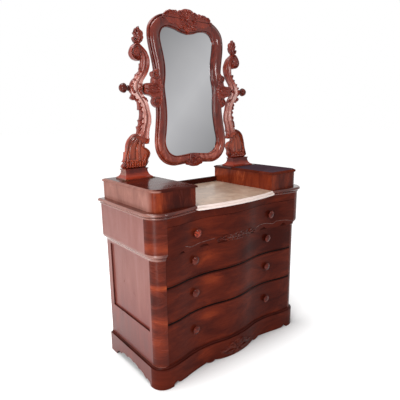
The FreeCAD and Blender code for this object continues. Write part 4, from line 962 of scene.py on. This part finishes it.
class DRESSER_OT_drawer_carving(bpy.types.Operator):
    """Carve the leaf scrolls on the lip of the top drawer"""
    bl_idname = "dresser.drawer_carving"
    bl_label = "Drawer carving"

    def execute(self, context):
        work = Carving(lambda x, z, out: on_front(x, z, 22 + out))
        z = 728
        outline = [(u * 148, 712 + v * 46) for u, v in apron_outline]
        work.plate(both_sides(outline), -3, 2.5, 2)
        for side in (1, -1):
            work.leaf([(side * 8, z + 6), (side * 46, z + 15), (side * 84, z + 1),
                       (side * 126, z + 8)], 11, 6, 1, lobes=6, sink=3)
            work.leaf([(side * 40, z + 10), (side * 62, z - 8), (side * 88, z - 8)],
                      8, 6, 1, lobes=3, sink=3)
            work.leaf([(side * 70, z + 6), (side * 92, z + 20), (side * 116, z + 17)],
                      7, 6, 1, lobes=3, sink=3)
            work.scroll([(side * 104, z + 2), (side * 128, z + 12), (side * 146, z + 4),
                         (side * 140, z - 5), (side * 132, z)], 3.2, 2.0, 2)
            work.scroll([(side * 14, z - 4), (side * 34, z - 12), (side * 52, z - 6)],
                        3, 1.8, 2)
        work.rose(0, z + 6, 15, 1, 7)
        work.leaf([(0, z + 2), (0, z - 15)], 9, 6, 1, lobes=2, sink=3)
        work.leaf([(0, z + 10), (0, z + 30)], 9, 6, 1, lobes=2, sink=3)
        work.carve("drawer_carving", finish("shadowed"), "drawer_1",
                   ["drawer_1_carving"])
        lines = Carving(lambda x, z, out: on_front(x, z, 22 + out))
        for path in ([(-363, 748), (-325, 734), (-293, 734), (-263, 739), (-205, 741),
                      (-160, 744)],
                     [(150, 736), (193, 748), (256, 746), (306, 736), (338, 747),
                      (405, 744), (470, 727)]):
            lines.scroll(path, 1.8, 1.4, 0.2, flat=0.7)
        for x, z in ((-65, 748), (-48, 738), (-30, 750), (-10, 738), (10, 750), (28, 740)):
            lines.boss(x, z, 3.4, 5, 3.5)
        lines.scroll([(-90, 738), (-60, 731), (-30, 733), (0, 731), (36, 734), (70, 730)],
                     1.6, 1.2, 6)
        lines.carve("drawer_lip_lines", finish("ridge_highlight"), "drawer_1")
        return {"FINISHED"}


class DRESSER_OT_base_carving(bpy.types.Operator):
    """Carve the leaf ornament in the middle of the base"""
    bl_idname = "dresser.base_carving"
    bl_label = "Base carving"

    def execute(self, context):
        work = Carving(lambda x, z, out: on_front(x, z, 14 + out))
        outline = [(u * 122, 4 + v * 88) for u, v in apron_outline]
        work.plate(both_sides(outline), -2, 3, 2.5)
        for side in (1, -1):
            work.leaf([(side * 10, 42), (side * 48, 62), (side * 88, 50), (side * 119, 52)],
                      15, 8, 2, lobes=6, sink=4)
            work.leaf([(side * 22, 36), (side * 52, 32), (side * 84, 38)], 11, 8, 2,
                      lobes=4, sink=4)
            work.leaf([(side * 14, 56), (side * 34, 80), (side * 60, 78)], 10, 8, 2,
                      lobes=4, sink=4)
            work.leaf([(side * 8, 30), (side * 22, 16), (side * 34, 18)], 8, 7, 2,
                      lobes=3, sink=4)
            work.scroll([(side * 60, 28), (side * 84, 30), (side * 98, 44), (side * 88, 52),
                         (side * 80, 44)], 3.4, 2.2, 4)
        for angle in (-54, -27, 0, 27, 54):
            lean = math.radians(angle)
            work.leaf([(12 * math.sin(lean), 52 + 12 * math.cos(lean)),
                       (36 * math.sin(lean), 52 + 36 * math.cos(lean))], 8, 8, 2, lobes=1,
                      sink=4)
        work.rose(0, 46, 17, 2, 8)
        work.leaf([(0, 34), (0, 6)], 12, 8, 2, lobes=3, sink=4)
        work.carve("base_ornament", finish("shadowed"), "case",
                   ["base_carving"])
        return {"FINISHED"}


class DRESSER_OT_boxes(bpy.types.Operator):
    """Polish the two glove boxes with their lids and hinges"""
    bl_idname = "dresser.boxes"
    bl_label = "Glove boxes"

    def execute(self, context):
        dress("box", "box_front_left", "box_front_right", "box_walls")
        dress("dark", "box_floors", "box_rear_tops", "lid_left")
        dress("lid_reflection", "lid_right")
        dress("brass", "lid_hinges", "lid_leaves_left", "lid_leaves_right")
        return {"FINISHED"}


class DRESSER_OT_marble(bpy.types.Operator):
    """Finish the marble slab of the well"""
    bl_idname = "dresser.marble"
    bl_label = "Marble"

    def execute(self, context):
        dress("marble", "marble_top")
        return {"FINISHED"}


# The S-scroll's hollow band as pairs of points on its two edges, from the foot to the volute's eye
scroll_band = [
    (0.15, 0.235, 0.50, 0.272), (0.135, 0.27, 0.44, 0.285), (0.13, 0.292, 0.40, 0.305),
    (0.10, 0.335, 0.37, 0.345), (0.056, 0.372, 0.335, 0.385), (0.052, 0.425, 0.31, 0.43),
    (0.088, 0.472, 0.315, 0.468), (0.131, 0.53, 0.36, 0.515), (0.192, 0.57, 0.43, 0.548),
    (0.257, 0.60, 0.52, 0.585), (0.295, 0.623, 0.60, 0.615), (0.295, 0.65, 0.625, 0.648),
    (0.272, 0.69, 0.59, 0.685), (0.245, 0.715, 0.53, 0.712), (0.13, 0.764, 0.41, 0.76),
    (0.056, 0.816, 0.315, 0.80), (0.03, 0.86, 0.295, 0.85), (0.044, 0.893, 0.29, 0.888),
    (0.085, 0.925, 0.295, 0.91), (0.135, 0.948, 0.305, 0.925), (0.255, 0.98, 0.34, 0.94),
    (0.34, 0.998, 0.375, 0.948), (0.43, 0.997, 0.42, 0.95), (0.515, 0.973, 0.455, 0.942),
    (0.576, 0.94, 0.482, 0.928), (0.582, 0.91, 0.492, 0.91), (0.52, 0.882, 0.474, 0.896),
    (0.42, 0.868, 0.437, 0.886), (0.35, 0.872, 0.40, 0.886), (0.325, 0.888, 0.375, 0.898),
    (0.335, 0.908, 0.37, 0.914), (0.37, 0.926, 0.392, 0.922),
]
band_section = [
    (0.0, 9), (0.02, 14), (0.06, 17.5), (0.10, 18), (0.14, 16.5), (0.17, 12), (0.26, 8),
    (0.38, 6.5), (0.50, 8), (0.58, 12), (0.61, 16.5), (0.65, 18), (0.69, 17), (0.73, 13),
    (0.80, 12.5), (0.90, 11), (0.97, 8), (1.0, 4),
]


class DRESSER_OT_standards(bpy.types.Operator):
    """Carve the two S-scroll standards, their plinth blocks and finials"""
    bl_idname = "dresser.standards"
    bl_label = "Mirror stand"

    def execute(self, context):
        for name, mirror in (("right", False), ("left", True)):
            side = -1 if mirror else 1
            work = Carving(lambda x, z, out, side=side: Vector(
                (side * standing(x, z, out).x, standing(x, z, out).y, standing(x, z, out).z)))
            outline = run_outline(standard_outline, 6)
            self.core(work, outline)
            band = Carving(work.place)
            band.ribbon(scroll_band, band_section, -4, 5)
            if mirror:
                band.faces = [face[::-1] for face in band.faces]
            band.carve("standard_band_" + name, finish("band"), "case")
            self.volute(work)
            self.leaf_tips(work)
            self.foot(work)
            if mirror:
                work.faces = [face[::-1] for face in work.faces]
            work.carve("standard_carved_" + name, finish("carved"), "case",
                       ["standard_" + name])
            bud = Carving(work.place)
            self.bud(bud)
            if mirror:
                bud.faces = [face[::-1] for face in bud.faces]
            bud.carve("finial_carved_" + name, finish("carved"), "case",
                      ["finials"])
        dress("block", "standard_plinths")
        return {"FINISHED"}

    def core(self, work, outline):
        """The sawn board under the carving, rounded at the front and the back."""
        rows = []
        for level, inset in ((-18, 0.016), (-17, 0.006), (-14, 0.0), (2, 0.0), (5.5, 0.006),
                             (7, 0.016)):
            flat = [(x * stand_width, z * stand_height) for x, z in outline]
            rows.append([(x / stand_width, z / stand_height, level)
                         for x, z in shrunk(flat, inset * 205)])
        work.skin(rows, flat)

    def volute(self, work):
        """The eye of the scroll and the leaf that springs from it."""
        flat_boss(work, 0.425, 0.931, 31, 2, 19)
        flat_scroll(work, [(0.30, 0.925), (0.36, 0.968), (0.46, 0.972), (0.53, 0.94),
                           (0.50, 0.905), (0.43, 0.90), (0.39, 0.922), (0.43, 0.94)],
                    4.5, 3, 17)
        for x, z, size in ((0.40, 0.962, 4.5), (0.33, 0.915, 5), (0.47, 0.935, 4.5),
                           (0.45, 0.912, 4)):
            flat_boss(work, x, z, size, 19, 7)

    def leaf_tips(self, work):
        """Small leaves along both edges of the column."""
        for x, z, dx, dz, size in (
                (0.33, 0.79, 0.06, 0.020, 8), (0.39, 0.755, 0.05, 0.010, 8),
                (0.50, 0.715, 0.05, 0.012, 8), (0.58, 0.685, 0.05, 0.010, 8),
                (0.57, 0.580, 0.07, -0.004, 12), (0.46, 0.555, 0.06, -0.010, 10),
                (0.38, 0.525, 0.04, -0.016, 9), (0.355, 0.495, 0.055, -0.012, 9),
                (0.33, 0.455, 0.03, -0.016, 8), (0.35, 0.405, 0.075, -0.008, 9),
                (0.37, 0.36, 0.10, -0.014, 9), (0.41, 0.32, 0.05, -0.012, 8)):
            flat_leaf(work, [(x - dx * 0.9, z - dz * 0.6), (x, z), (x + dx * 0.35, z + dz)],
                      size, 8, 8, lobes=3)
        for spine in ([(0.36, 0.69), (0.32, 0.668), (0.33, 0.638), (0.39, 0.63)],
                      [(0.31, 0.60), (0.34, 0.618), (0.38, 0.642), (0.35, 0.665)],
                      [(0.60, 0.668), (0.58, 0.635), (0.53, 0.615), (0.50, 0.632)],
                      [(0.15, 0.545), (0.22, 0.572), (0.30, 0.582)]):
            flat_leaf(work, spine, 9, 9, 13, lobes=3)

    def foot(self, work):
        """The carved foot: an outer scroll, broad leaves, a ruffle and the inner hook."""
        flat_scroll(work, [(0.50, 0.275), (0.62, 0.262), (0.74, 0.228), (0.80, 0.185),
                           (0.84, 0.14), (0.87, 0.095), (0.92, 0.05), (0.945, 0.025),
                           (0.90, 0.02), (0.87, 0.038)], 6.5, 5, 10)
        flat_scroll(work, [(0.50, 0.238), (0.60, 0.20), (0.66, 0.14), (0.685, 0.075)],
                    17, 25, 4, flat=0.5)
        flat_scroll(work, [(0.40, 0.225), (0.44, 0.17), (0.45, 0.11), (0.44, 0.06)],
                    7, 8, 8, flat=0.6)
        for x, z, tall in ((0.50, 0.225, 0.022), (0.58, 0.218, 0.022), (0.66, 0.195, 0.022)):
            flat_scroll(work, [(x, z), (x + 0.008, z + tall * 0.6), (x - 0.006, z + tall)],
                        2.4, 1.4, 13)
        flat_leaf(work, [(0.82, 0.02), (0.84, 0.06), (0.81, 0.11), (0.76, 0.15)], 11, 10, 7,
                  lobes=4)
        flat_scroll(work, [(0.30, 0.21), (0.315, 0.185), (0.30, 0.165), (0.24, 0.155),
                           (0.165, 0.135), (0.14, 0.112), (0.17, 0.088), (0.21, 0.068),
                           (0.23, 0.035), (0.31, 0.014)], 5, 4, 10)
        flat_leaf(work, [(0.40, 0.03), (0.31, 0.06), (0.25, 0.11)], 13, 9, 8, lobes=3)
        flat_leaf(work, [(0.14, 0.245), (0.17, 0.215), (0.26, 0.198)], 8, 9, 8, lobes=3)
        for k in range(8):
            x = 0.30 + k * 0.075
            flat_leaf(work, [(x, 0.004), (x + 0.012, 0.03), (x - 0.008, 0.048)], 8, 10, 10,
                      lobes=2)
            flat_boss(work, x + 0.036, 0.014, 4.2, 12, 7)
            flat_boss(work, x + 0.01, 0.048 + 0.012 * (k % 2), 5, 10, 8)

    def bud(self, work):
        """The leaf bud on the head, carved all round."""
        left = 0.338 - 32 / stand_width
        wide = 64 / stand_width
        tall = 83 / stand_height
        outline = [(left + u * wide, 1.0 + v * tall) for u, v in run_outline(finial_outline, 5)]
        flat = [(x * stand_width, z * stand_height) for x, z in outline]
        rows = []
        for level, inset in ((-10, 9), (-8, 5), (-4, 3), (0, 2), (4, 3), (8, 5), (10, 9)):
            rows.append([(x / stand_width, z / stand_height, level)
                         for x, z in shrunk(flat, inset)])
        work.skin(rows, flat)
        for facing in (1, -1):
            for spine, size in (
                    ([(0.48, 0.0), (0.42, 0.35), (0.30, 0.62), (0.12, 0.66)], 9),
                    ([(0.50, 0.0), (0.66, 0.30), (0.78, 0.52), (0.95, 0.60)], 9),
                    ([(0.48, 0.1), (0.46, 0.50), (0.52, 0.80), (0.44, 1.0)], 10),
                    ([(0.46, 0.0), (0.28, 0.12), (0.12, 0.30), (0.03, 0.46)], 8),
                    ([(0.54, 0.0), (0.76, 0.06), (0.92, 0.18), (0.98, 0.34)], 8),
                    ([(0.60, 0.45), (0.74, 0.70), (0.66, 0.90)], 7)):
                line = [(left + u * wide, 1.0 + v * tall) for u, v in spine]
                flat_leaf(work, line, size, 9 * facing, 5 * facing, lobes=3, sink=6 * facing)


def flat_leaf(work, spine, width, rise, out, lobes=3, sink=8):
    """A leaf drawn in the standard's shares."""
    drawn = Carving(None)
    drawn.leaf([(x * stand_width, z * stand_height) for x, z in spine], width, rise, out, lobes,
               sink)
    append_flat(work, drawn)


def flat_scroll(work, path, thick, thin, out, flat=1.0):
    """A scroll drawn in the standard's shares."""
    drawn = Carving(None)
    drawn.scroll([(x * stand_width, z * stand_height) for x, z in path], thick, thin, out,
                 flat=flat)
    append_flat(work, drawn)


def flat_boss(work, x, z, radius, out, rise, dimple=0.0):
    """A boss drawn in the standard's shares."""
    drawn = Carving(None)
    drawn.boss(x * stand_width, z * stand_height, radius, out, rise, dimple)
    append_flat(work, drawn)


def append_flat(work, drawn):
    """Add strokes drawn in millimetres to a carving in the standard's shares."""
    drawn.points = [(x / stand_width, z / stand_height, out) for x, z, out in drawn.points]
    append(work, drawn)


def append(work, drawn):
    """Add the strokes of one carving to another."""
    start = len(work.points)
    work.points += drawn.points
    work.faces += [tuple(start + i for i in face) for face in drawn.faces]


class DRESSER_OT_mirror_frame(bpy.types.Operator):
    """Run the moulding of the mirror frame and set the glass and its backboard"""
    bl_idname = "dresser.mirror_frame"
    bl_label = "Mirror frame"

    def execute(self, context):
        sizes = context.scene.dresser_sizes
        rim = sizes.frame_rim / MM
        sight = sizes.frame_sight / MM
        high = sizes.frame_cushion / MM
        # Each step: how far in from the rim, the share of the free width, and how far out
        section = [
            (0, 0, -6), (0, 0, 1), (0.6, 0, 4.5), (2.4, 0, 7.6), (5, 0, 9.4), (7.6, 0, 9.2),
            (9.6, 0, 7.6), (10.6, 0, 5.6), (11.6, 0, 5.4), (12.4, 0, 8), (rim, 0.02, high * 0.6),
            (rim, 0.10, high * 0.84), (rim, 0.24, high * 0.97), (rim, 0.40, high),
            (rim, 0.58, high * 0.94), (rim, 0.74, high * 0.80), (rim, 0.88, high * 0.62),
            (rim, 0.97, high * 0.50), (rim + 0.6, 1, high * 0.36), (rim + 1.6, 1, high * 0.40),
            (rim + 3, 1, high * 0.55), (rim + 5, 1, high * 0.58), (rim + 7, 1, high * 0.48),
            (rim + 8.4, 1, high * 0.25), (rim + sight, 1, 2), (rim + sight, 1, -2),
        ]
        count = 420
        outer = outline_by_angle(frame_outline, 272, 432, count)
        inner = outline_by_angle(opening_outline, 195, 374, count)
        rows = []
        for (ox, oz), (ix, iz) in zip(outer, inner):
            wide = math.hypot(ix - ox, iz - oz)
            dx, dz = (ix - ox) / wide, (iz - oz) / wide
            row = [(ox + dx * (a + s * (wide - rim - sight)),
                    oz + dz * (a + s * (wide - rim - sight)), out) for a, s, out in section]
            for a, out in ((wide - 8, -2), (wide - 8, -14), (10, -14), (10, -6)):
                row.append((ox + dx * a, oz + dz * a, out))
            rows.append(row)
        work = Carving(hung)
        work.closed_skin(rows)
        work.faces = [face[::-1] for face in work.faces]
        work.carve("frame_moulding", finish("frame"), "mirror",
                   ["mirror_frame"])
        dress("glass", "mirror_glass")
        dress("pine", "mirror_backboard")
        return {"FINISHED"}


class DRESSER_OT_crest(bpy.types.Operator):
    """Carve the roses and leaf sprays on top of the mirror frame"""
    bl_idname = "dresser.crest"
    bl_label = "Crest"

    def execute(self, context):
        work = Carving(hung)
        half_line = []
        for run in scaled(crest_outline, 0, 318, 182, 128):
            half_line += smooth(run, 5)[:-1]
        half_line.append((0, 446))
        work.plate(both_sides(half_line), -2, 21, 6)
        for side in (1, -1):
            work.leaf([(side * 58, 398), (side * 94, 411), (side * 130, 409),
                       (side * 174, 386)], 13, 10, 17, lobes=7)
            work.leaf([(side * 76, 404), (side * 100, 419), (side * 128, 420)], 10, 11, 18,
                      lobes=4)
            work.leaf([(side * 118, 407), (side * 144, 413), (side * 166, 400)], 9, 11, 18,
                      lobes=4)
            work.leaf([(side * 20, 402), (side * 42, 424), (side * 68, 419)], 13, 10, 18,
                      lobes=4)
            work.leaf([(side * 16, 366), (side * 38, 350), (side * 62, 355)], 12, 10, 17,
                      lobes=4)
            work.leaf([(side * 10, 358), (side * 26, 344), (side * 34, 334)], 9, 10, 18,
                      lobes=3)
            work.rose(side * 44, 380, 17, 19, 12, 0.5)
            work.scroll([(side * 152, 386), (side * 170, 390), (side * 176, 381),
                         (side * 168, 375), (side * 161, 380)], 4, 2.5, 22)
            work.boss(side * 54, 401, 4.5, 22, 7)
        for angle in (-66, -44, -22, 0, 22, 44, 66):
            lean = math.radians(angle)
            work.leaf([(14 * math.sin(lean), 392 + 14 * math.cos(lean)),
                       (40 * math.sin(lean), 392 + 38 * math.cos(lean)),
                       (54 * math.sin(lean), 392 + 52 * math.cos(lean))], 12, 10, 18, lobes=2)
        work.rose(0, 392, 27, 21, 14)
        work.leaf([(0, 372), (3, 346), (-2, 322)], 14, 10, 19, lobes=4)
        work.boss(0, 352, 6, 24, 6)
        work.carve("crest_carved", finish("carved"), "mirror",
                   ["crest_carving"])
        return {"FINISHED"}


class DRESSER_OT_bottom_ornament(bpy.types.Operator):
    """Carve the shell and leaves under the mirror"""
    bl_idname = "dresser.bottom_ornament"
    bl_label = "Bottom ornament"

    def execute(self, context):
        work = Carving(hung)
        half_line = []
        for run in scaled(bottom_outline, 0, -447, 98, 81):
            half_line += smooth(run, 5)[:-1]
        half_line.append((0, -366))
        work.plate(both_sides(half_line), -8, 19, 5)
        for side in (1, -1):
            work.leaf([(side * 8, -412), (side * 28, -418), (side * 46, -416),
                       (side * 62, -414)], 10, 9, 16, lobes=4)
            work.leaf([(side * 12, -396), (side * 30, -394), (side * 46, -400)], 8, 9, 16,
                      lobes=3)
            work.scroll([(side * 38, -402), (side * 54, -402), (side * 60, -411),
                         (side * 53, -416)], 3.2, 2.2, 20)
            work.boss(side * 30, -389, 3.2, 18, 5)
        for angle in (-66, -44, -22, 0, 22, 44, 66):
            lean = math.radians(angle)
            work.leaf([(8 * math.sin(lean), -406 - 7 * math.cos(lean)),
                       (22 * math.sin(lean), -406 - 22 * math.cos(lean)),
                       (32 * math.sin(lean), -406 - 38 * math.cos(lean))], 7, 9, 17, lobes=1)
        work.boss(0, -397, 11, 18, 11, dimple=0.15)
        work.leaf([(0, -386), (0, -371)], 9, 8, 17, lobes=2)
        work.carve("bottom_carved", finish("carved"), "mirror",
                   ["bottom_carving"])
        return {"FINISHED"}


class DRESSER_OT_ears(bpy.types.Operator):
    """Carve the scrolled ears at the pivots, with their brass sockets and knobs"""
    bl_idname = "dresser.ears"
    bl_label = "Pivot ears"

    def execute(self, context):
        work = Carving(hung)
        outline = run_outline(scaled(ear_outline, 198, 0, 122, 108), 5)
        work.plate(outline, -14, 18, 6)
        work.leaf([(206, 0), (246, 5), (284, -3), (317, 0)], 13, 10, 15, lobes=6)
        work.leaf([(210, -8), (214, 30), (224, 64), (238, 96)], 14, 11, 15, lobes=6)
        work.leaf([(210, 4), (212, -38), (222, -70), (240, -92)], 14, 11, 15, lobes=6)
        work.leaf([(228, 16), (248, 24), (272, 18), (298, 10)], 8, 9, 16, lobes=4)
        work.leaf([(228, -16), (252, -24), (276, -22), (300, -14)], 8, 9, 16, lobes=4)
        work.scroll([(232, 62), (244, 54), (257, 64), (259, 80), (248, 88), (238, 80),
                     (245, 73)], 5.5, 3.2, 19)
        work.scroll([(230, -50), (246, -48), (261, -60), (264, -74), (252, -84), (240, -76),
                     (248, -68)], 5.5, 3.2, 19)
        work.boss(247, 76, 5, 19, 8, dimple=0.3)
        work.boss(250, -68, 5, 19, 8, dimple=0.3)
        work.boss(230, 2, 9, 20, 9, dimple=0.2)
        work.carve("ears_carved", finish("carved"), "mirror",
                   ["mirror_ears"], mirror=True)
        dress("brass", "pivot_sockets")
        dress("turned", "pivot_knob_left", "pivot_knob_right")
        return {"FINISHED"}


class DRESSER_OT_stage(bpy.types.Operator):
    """Lay the floor, set the soft lights and place the camera"""
    bl_idname = "dresser.stage"
    bl_label = "Stage"

    def execute(self, context):
        scene = context.scene
        scene.view_settings.view_transform = "Standard"
        mesh = bpy.data.meshes.new("floor")
        mesh.from_pydata([(-30, -30, 0), (30, -30, 0), (30, 30, 0), (-30, 30, 0)], [],
                         [(0, 1, 2, 3)])
        floor = bpy.data.objects.new("floor", mesh)
        scene.collection.objects.link(floor)
        mesh.materials.append(self.floor_paint())
        self.sky(scene)
        self.lamp("left_softbox", (-3.3, -1.9, 1.9), (-0.3, 0, 0.9), (1.6, 1.6), 76)
        self.lamp("side_softbox", (-3.2, 2.0, 1.2), (-0.5, 0, 0.8), (2.4, 2.4), 26)
        self.lamp("top_softbox", (-1.1, 0.55, 4.0), (0, 0, 0.9), (1.6, 1.6), 76)
        self.lamp("front_light", (0.7, -4.0, 2.6), (0, 0, 0.8), (0.6, 0.6), 30)
        self.lamp("low_strip", (-1.85, -1.02, 0.55), (-0.53, -0.2, 0.6), (0.45, 1.1), 11)
        self.camera(scene)
        return {"FINISHED"}

    def floor_paint(self):
        """Matt white paint that shows the soft shadow, painted darker round the base, and goes out to
        white.
        """
        material, tree = new_material("matt_white_floor")
        paint = add(tree, "ShaderNodeBsdfDiffuse", {"Color": (0.85, 0.85, 0.85, 1)})
        # The glow fades towards the base, so the floor is painted darker round it, besides its real soft
        # shadow
        place = add(tree, "ShaderNodeTexCoord").outputs["Object"]
        glow_away_from_base = add(tree, "ShaderNodeVectorMath", {0: place}, operation="ABSOLUTE").outputs[0]
        glow_away_from_base = add(tree, "ShaderNodeVectorMath", {0: glow_away_from_base, 1: (0.53, 0.22, 0)},
                   operation="SUBTRACT").outputs[0]
        glow_away_from_base = add(tree, "ShaderNodeVectorMath", {0: glow_away_from_base, 1: (0, 0, 0)},
                   operation="MAXIMUM").outputs[0]
        glow_away_from_base = add(tree, "ShaderNodeVectorMath", {0: glow_away_from_base}, operation="LENGTH").outputs["Value"]
        glow_away_from_base = add(tree, "ShaderNodeMath", {0: glow_away_from_base, 1: -7.0}, operation="MULTIPLY").outputs[0]
        glow_away_from_base = add(tree, "ShaderNodeMath", {0: glow_away_from_base}, operation="EXPONENT").outputs[0]
        glow_away_from_base = add(tree, "ShaderNodeMapRange",
                   {"Value": glow_away_from_base, "To Min": 0.66, "To Max": 0.0}).outputs[0]
        glow = add(tree, "ShaderNodeEmission", {"Color": (1, 1, 1, 1), "Strength": glow_away_from_base})
        both = add(tree, "ShaderNodeAddShader", {0: paint.outputs[0], 1: glow.outputs[0]})
        mixed = add(tree, "ShaderNodeMixShader",
                    {0: self.seen(tree), 1: paint.outputs[0], 2: both.outputs[0]})
        add(tree, "ShaderNodeOutputMaterial", {"Surface": mixed.outputs[0]})
        return material

    def seen(self, tree):
        """1 where a ray shows the background, straight or in a mirror or glass."""
        path = add(tree, "ShaderNodeLightPath")
        seen = add(tree, "ShaderNodeMath", {0: path.outputs["Is Camera Ray"],
                                            1: path.outputs["Is Glossy Ray"]},
                   operation="MAXIMUM").outputs[0]
        return add(tree, "ShaderNodeMath", {0: seen, 1: path.outputs["Is Transmission Ray"]},
                   operation="MAXIMUM").outputs[0]

    def sky(self, scene):
        """Even white round the object, and half as bright where it lights it."""
        world = bpy.data.worlds.new("studio")
        scene.world = world
        world.use_nodes = True
        tree = world.node_tree
        tree.nodes.clear()
        strength = add(tree, "ShaderNodeMapRange",
                       {"Value": self.seen(tree), "To Min": 0.45, "To Max": 1.0}).outputs[0]
        white = add(tree, "ShaderNodeBackground",
                    {"Color": (1, 1, 1, 1), "Strength": strength})
        add(tree, "ShaderNodeOutputWorld", {"Surface": white.outputs[0]})

    def lamp(self, name, place, aim, size, power):
        """One softbox."""
        light = bpy.data.lights.new(name, "AREA")
        light.shape = "RECTANGLE"
        light.size, light.size_y = size
        light.energy = power
        lamp = bpy.data.objects.new(name, light)
        lamp.location = place
        lamp.rotation_mode = "QUATERNION"
        lamp.rotation_quaternion = (Vector(aim) - Vector(place)).to_track_quat("-Z", "Y")
        bpy.context.scene.collection.objects.link(lamp)

    def camera(self, scene):
        """The photograph's view: from the left front, a little above the middle."""
        yaw, pitch, roll = math.radians(39.1), math.radians(12.4), math.radians(-0.7)
        ahead = Vector((math.sin(yaw) * math.cos(pitch), math.cos(yaw) * math.cos(pitch),
                        -math.sin(pitch)))
        right = Vector((math.cos(yaw), -math.sin(yaw), 0))
        up = right.cross(ahead)
        turned = math.cos(roll) * right + math.sin(roll) * up
        up = -math.sin(roll) * right + math.cos(roll) * up
        data = bpy.data.cameras.new("camera")
        data.lens = 34.78
        data.sensor_width = 36
        data.clip_start = 0.05
        data.clip_end = 100
        camera = bpy.data.objects.new("camera", data)
        axes = Matrix((turned, up, -ahead)).transposed()
        camera.matrix_world = Matrix.Translation((-1.4547, -1.6984, 1.3829)) @ axes.to_4x4()
        scene.collection.objects.link(camera)
        scene.camera = camera


class DRESSER_PT_panel(bpy.types.Panel):
    """The dresser's steps, sizes and colours"""
    bl_idname = "DRESSER_PT_panel"
    bl_label = "Dresser"
    bl_space_type = "VIEW_3D"
    bl_region_type = "UI"
    bl_category = "Dresser"

    def draw(self, context):
        column = self.layout.column(align=True)
        for step in steps:
            column.operator(step.bl_idname)
        for group in (context.scene.dresser_sizes, context.scene.dresser_colours):
            for key in group.__annotations__:
                self.layout.prop(group, key)


steps = (
    DRESSER_OT_case, DRESSER_OT_drawers, DRESSER_OT_drawer_carving, DRESSER_OT_base_carving,
    DRESSER_OT_boxes, DRESSER_OT_marble, DRESSER_OT_standards, DRESSER_OT_mirror_frame,
    DRESSER_OT_crest, DRESSER_OT_bottom_ornament, DRESSER_OT_ears, DRESSER_OT_stage,
)
classes = (DresserSizes, DresserColours) + steps + (DRESSER_PT_panel,)


def register():
    for item in classes:
        bpy.utils.register_class(item)
    bpy.types.Scene.dresser_sizes = bpy.props.PointerProperty(type=DresserSizes)
    bpy.types.Scene.dresser_colours = bpy.props.PointerProperty(type=DresserColours)


def unregister():
    del bpy.types.Scene.dresser_colours
    del bpy.types.Scene.dresser_sizes
    for item in reversed(classes):
        bpy.utils.unregister_class(item)


def main():
    register()
    bpy.ops.dresser.case()
    bpy.ops.dresser.drawers()
    bpy.ops.dresser.drawer_carving()
    bpy.ops.dresser.base_carving()
    bpy.ops.dresser.boxes()
    bpy.ops.dresser.marble()
    bpy.ops.dresser.standards()
    bpy.ops.dresser.mirror_frame()
    bpy.ops.dresser.crest()
    bpy.ops.dresser.bottom_ornament()
    bpy.ops.dresser.ears()
    bpy.ops.dresser.stage()


if __name__ == "__main__":
    main()
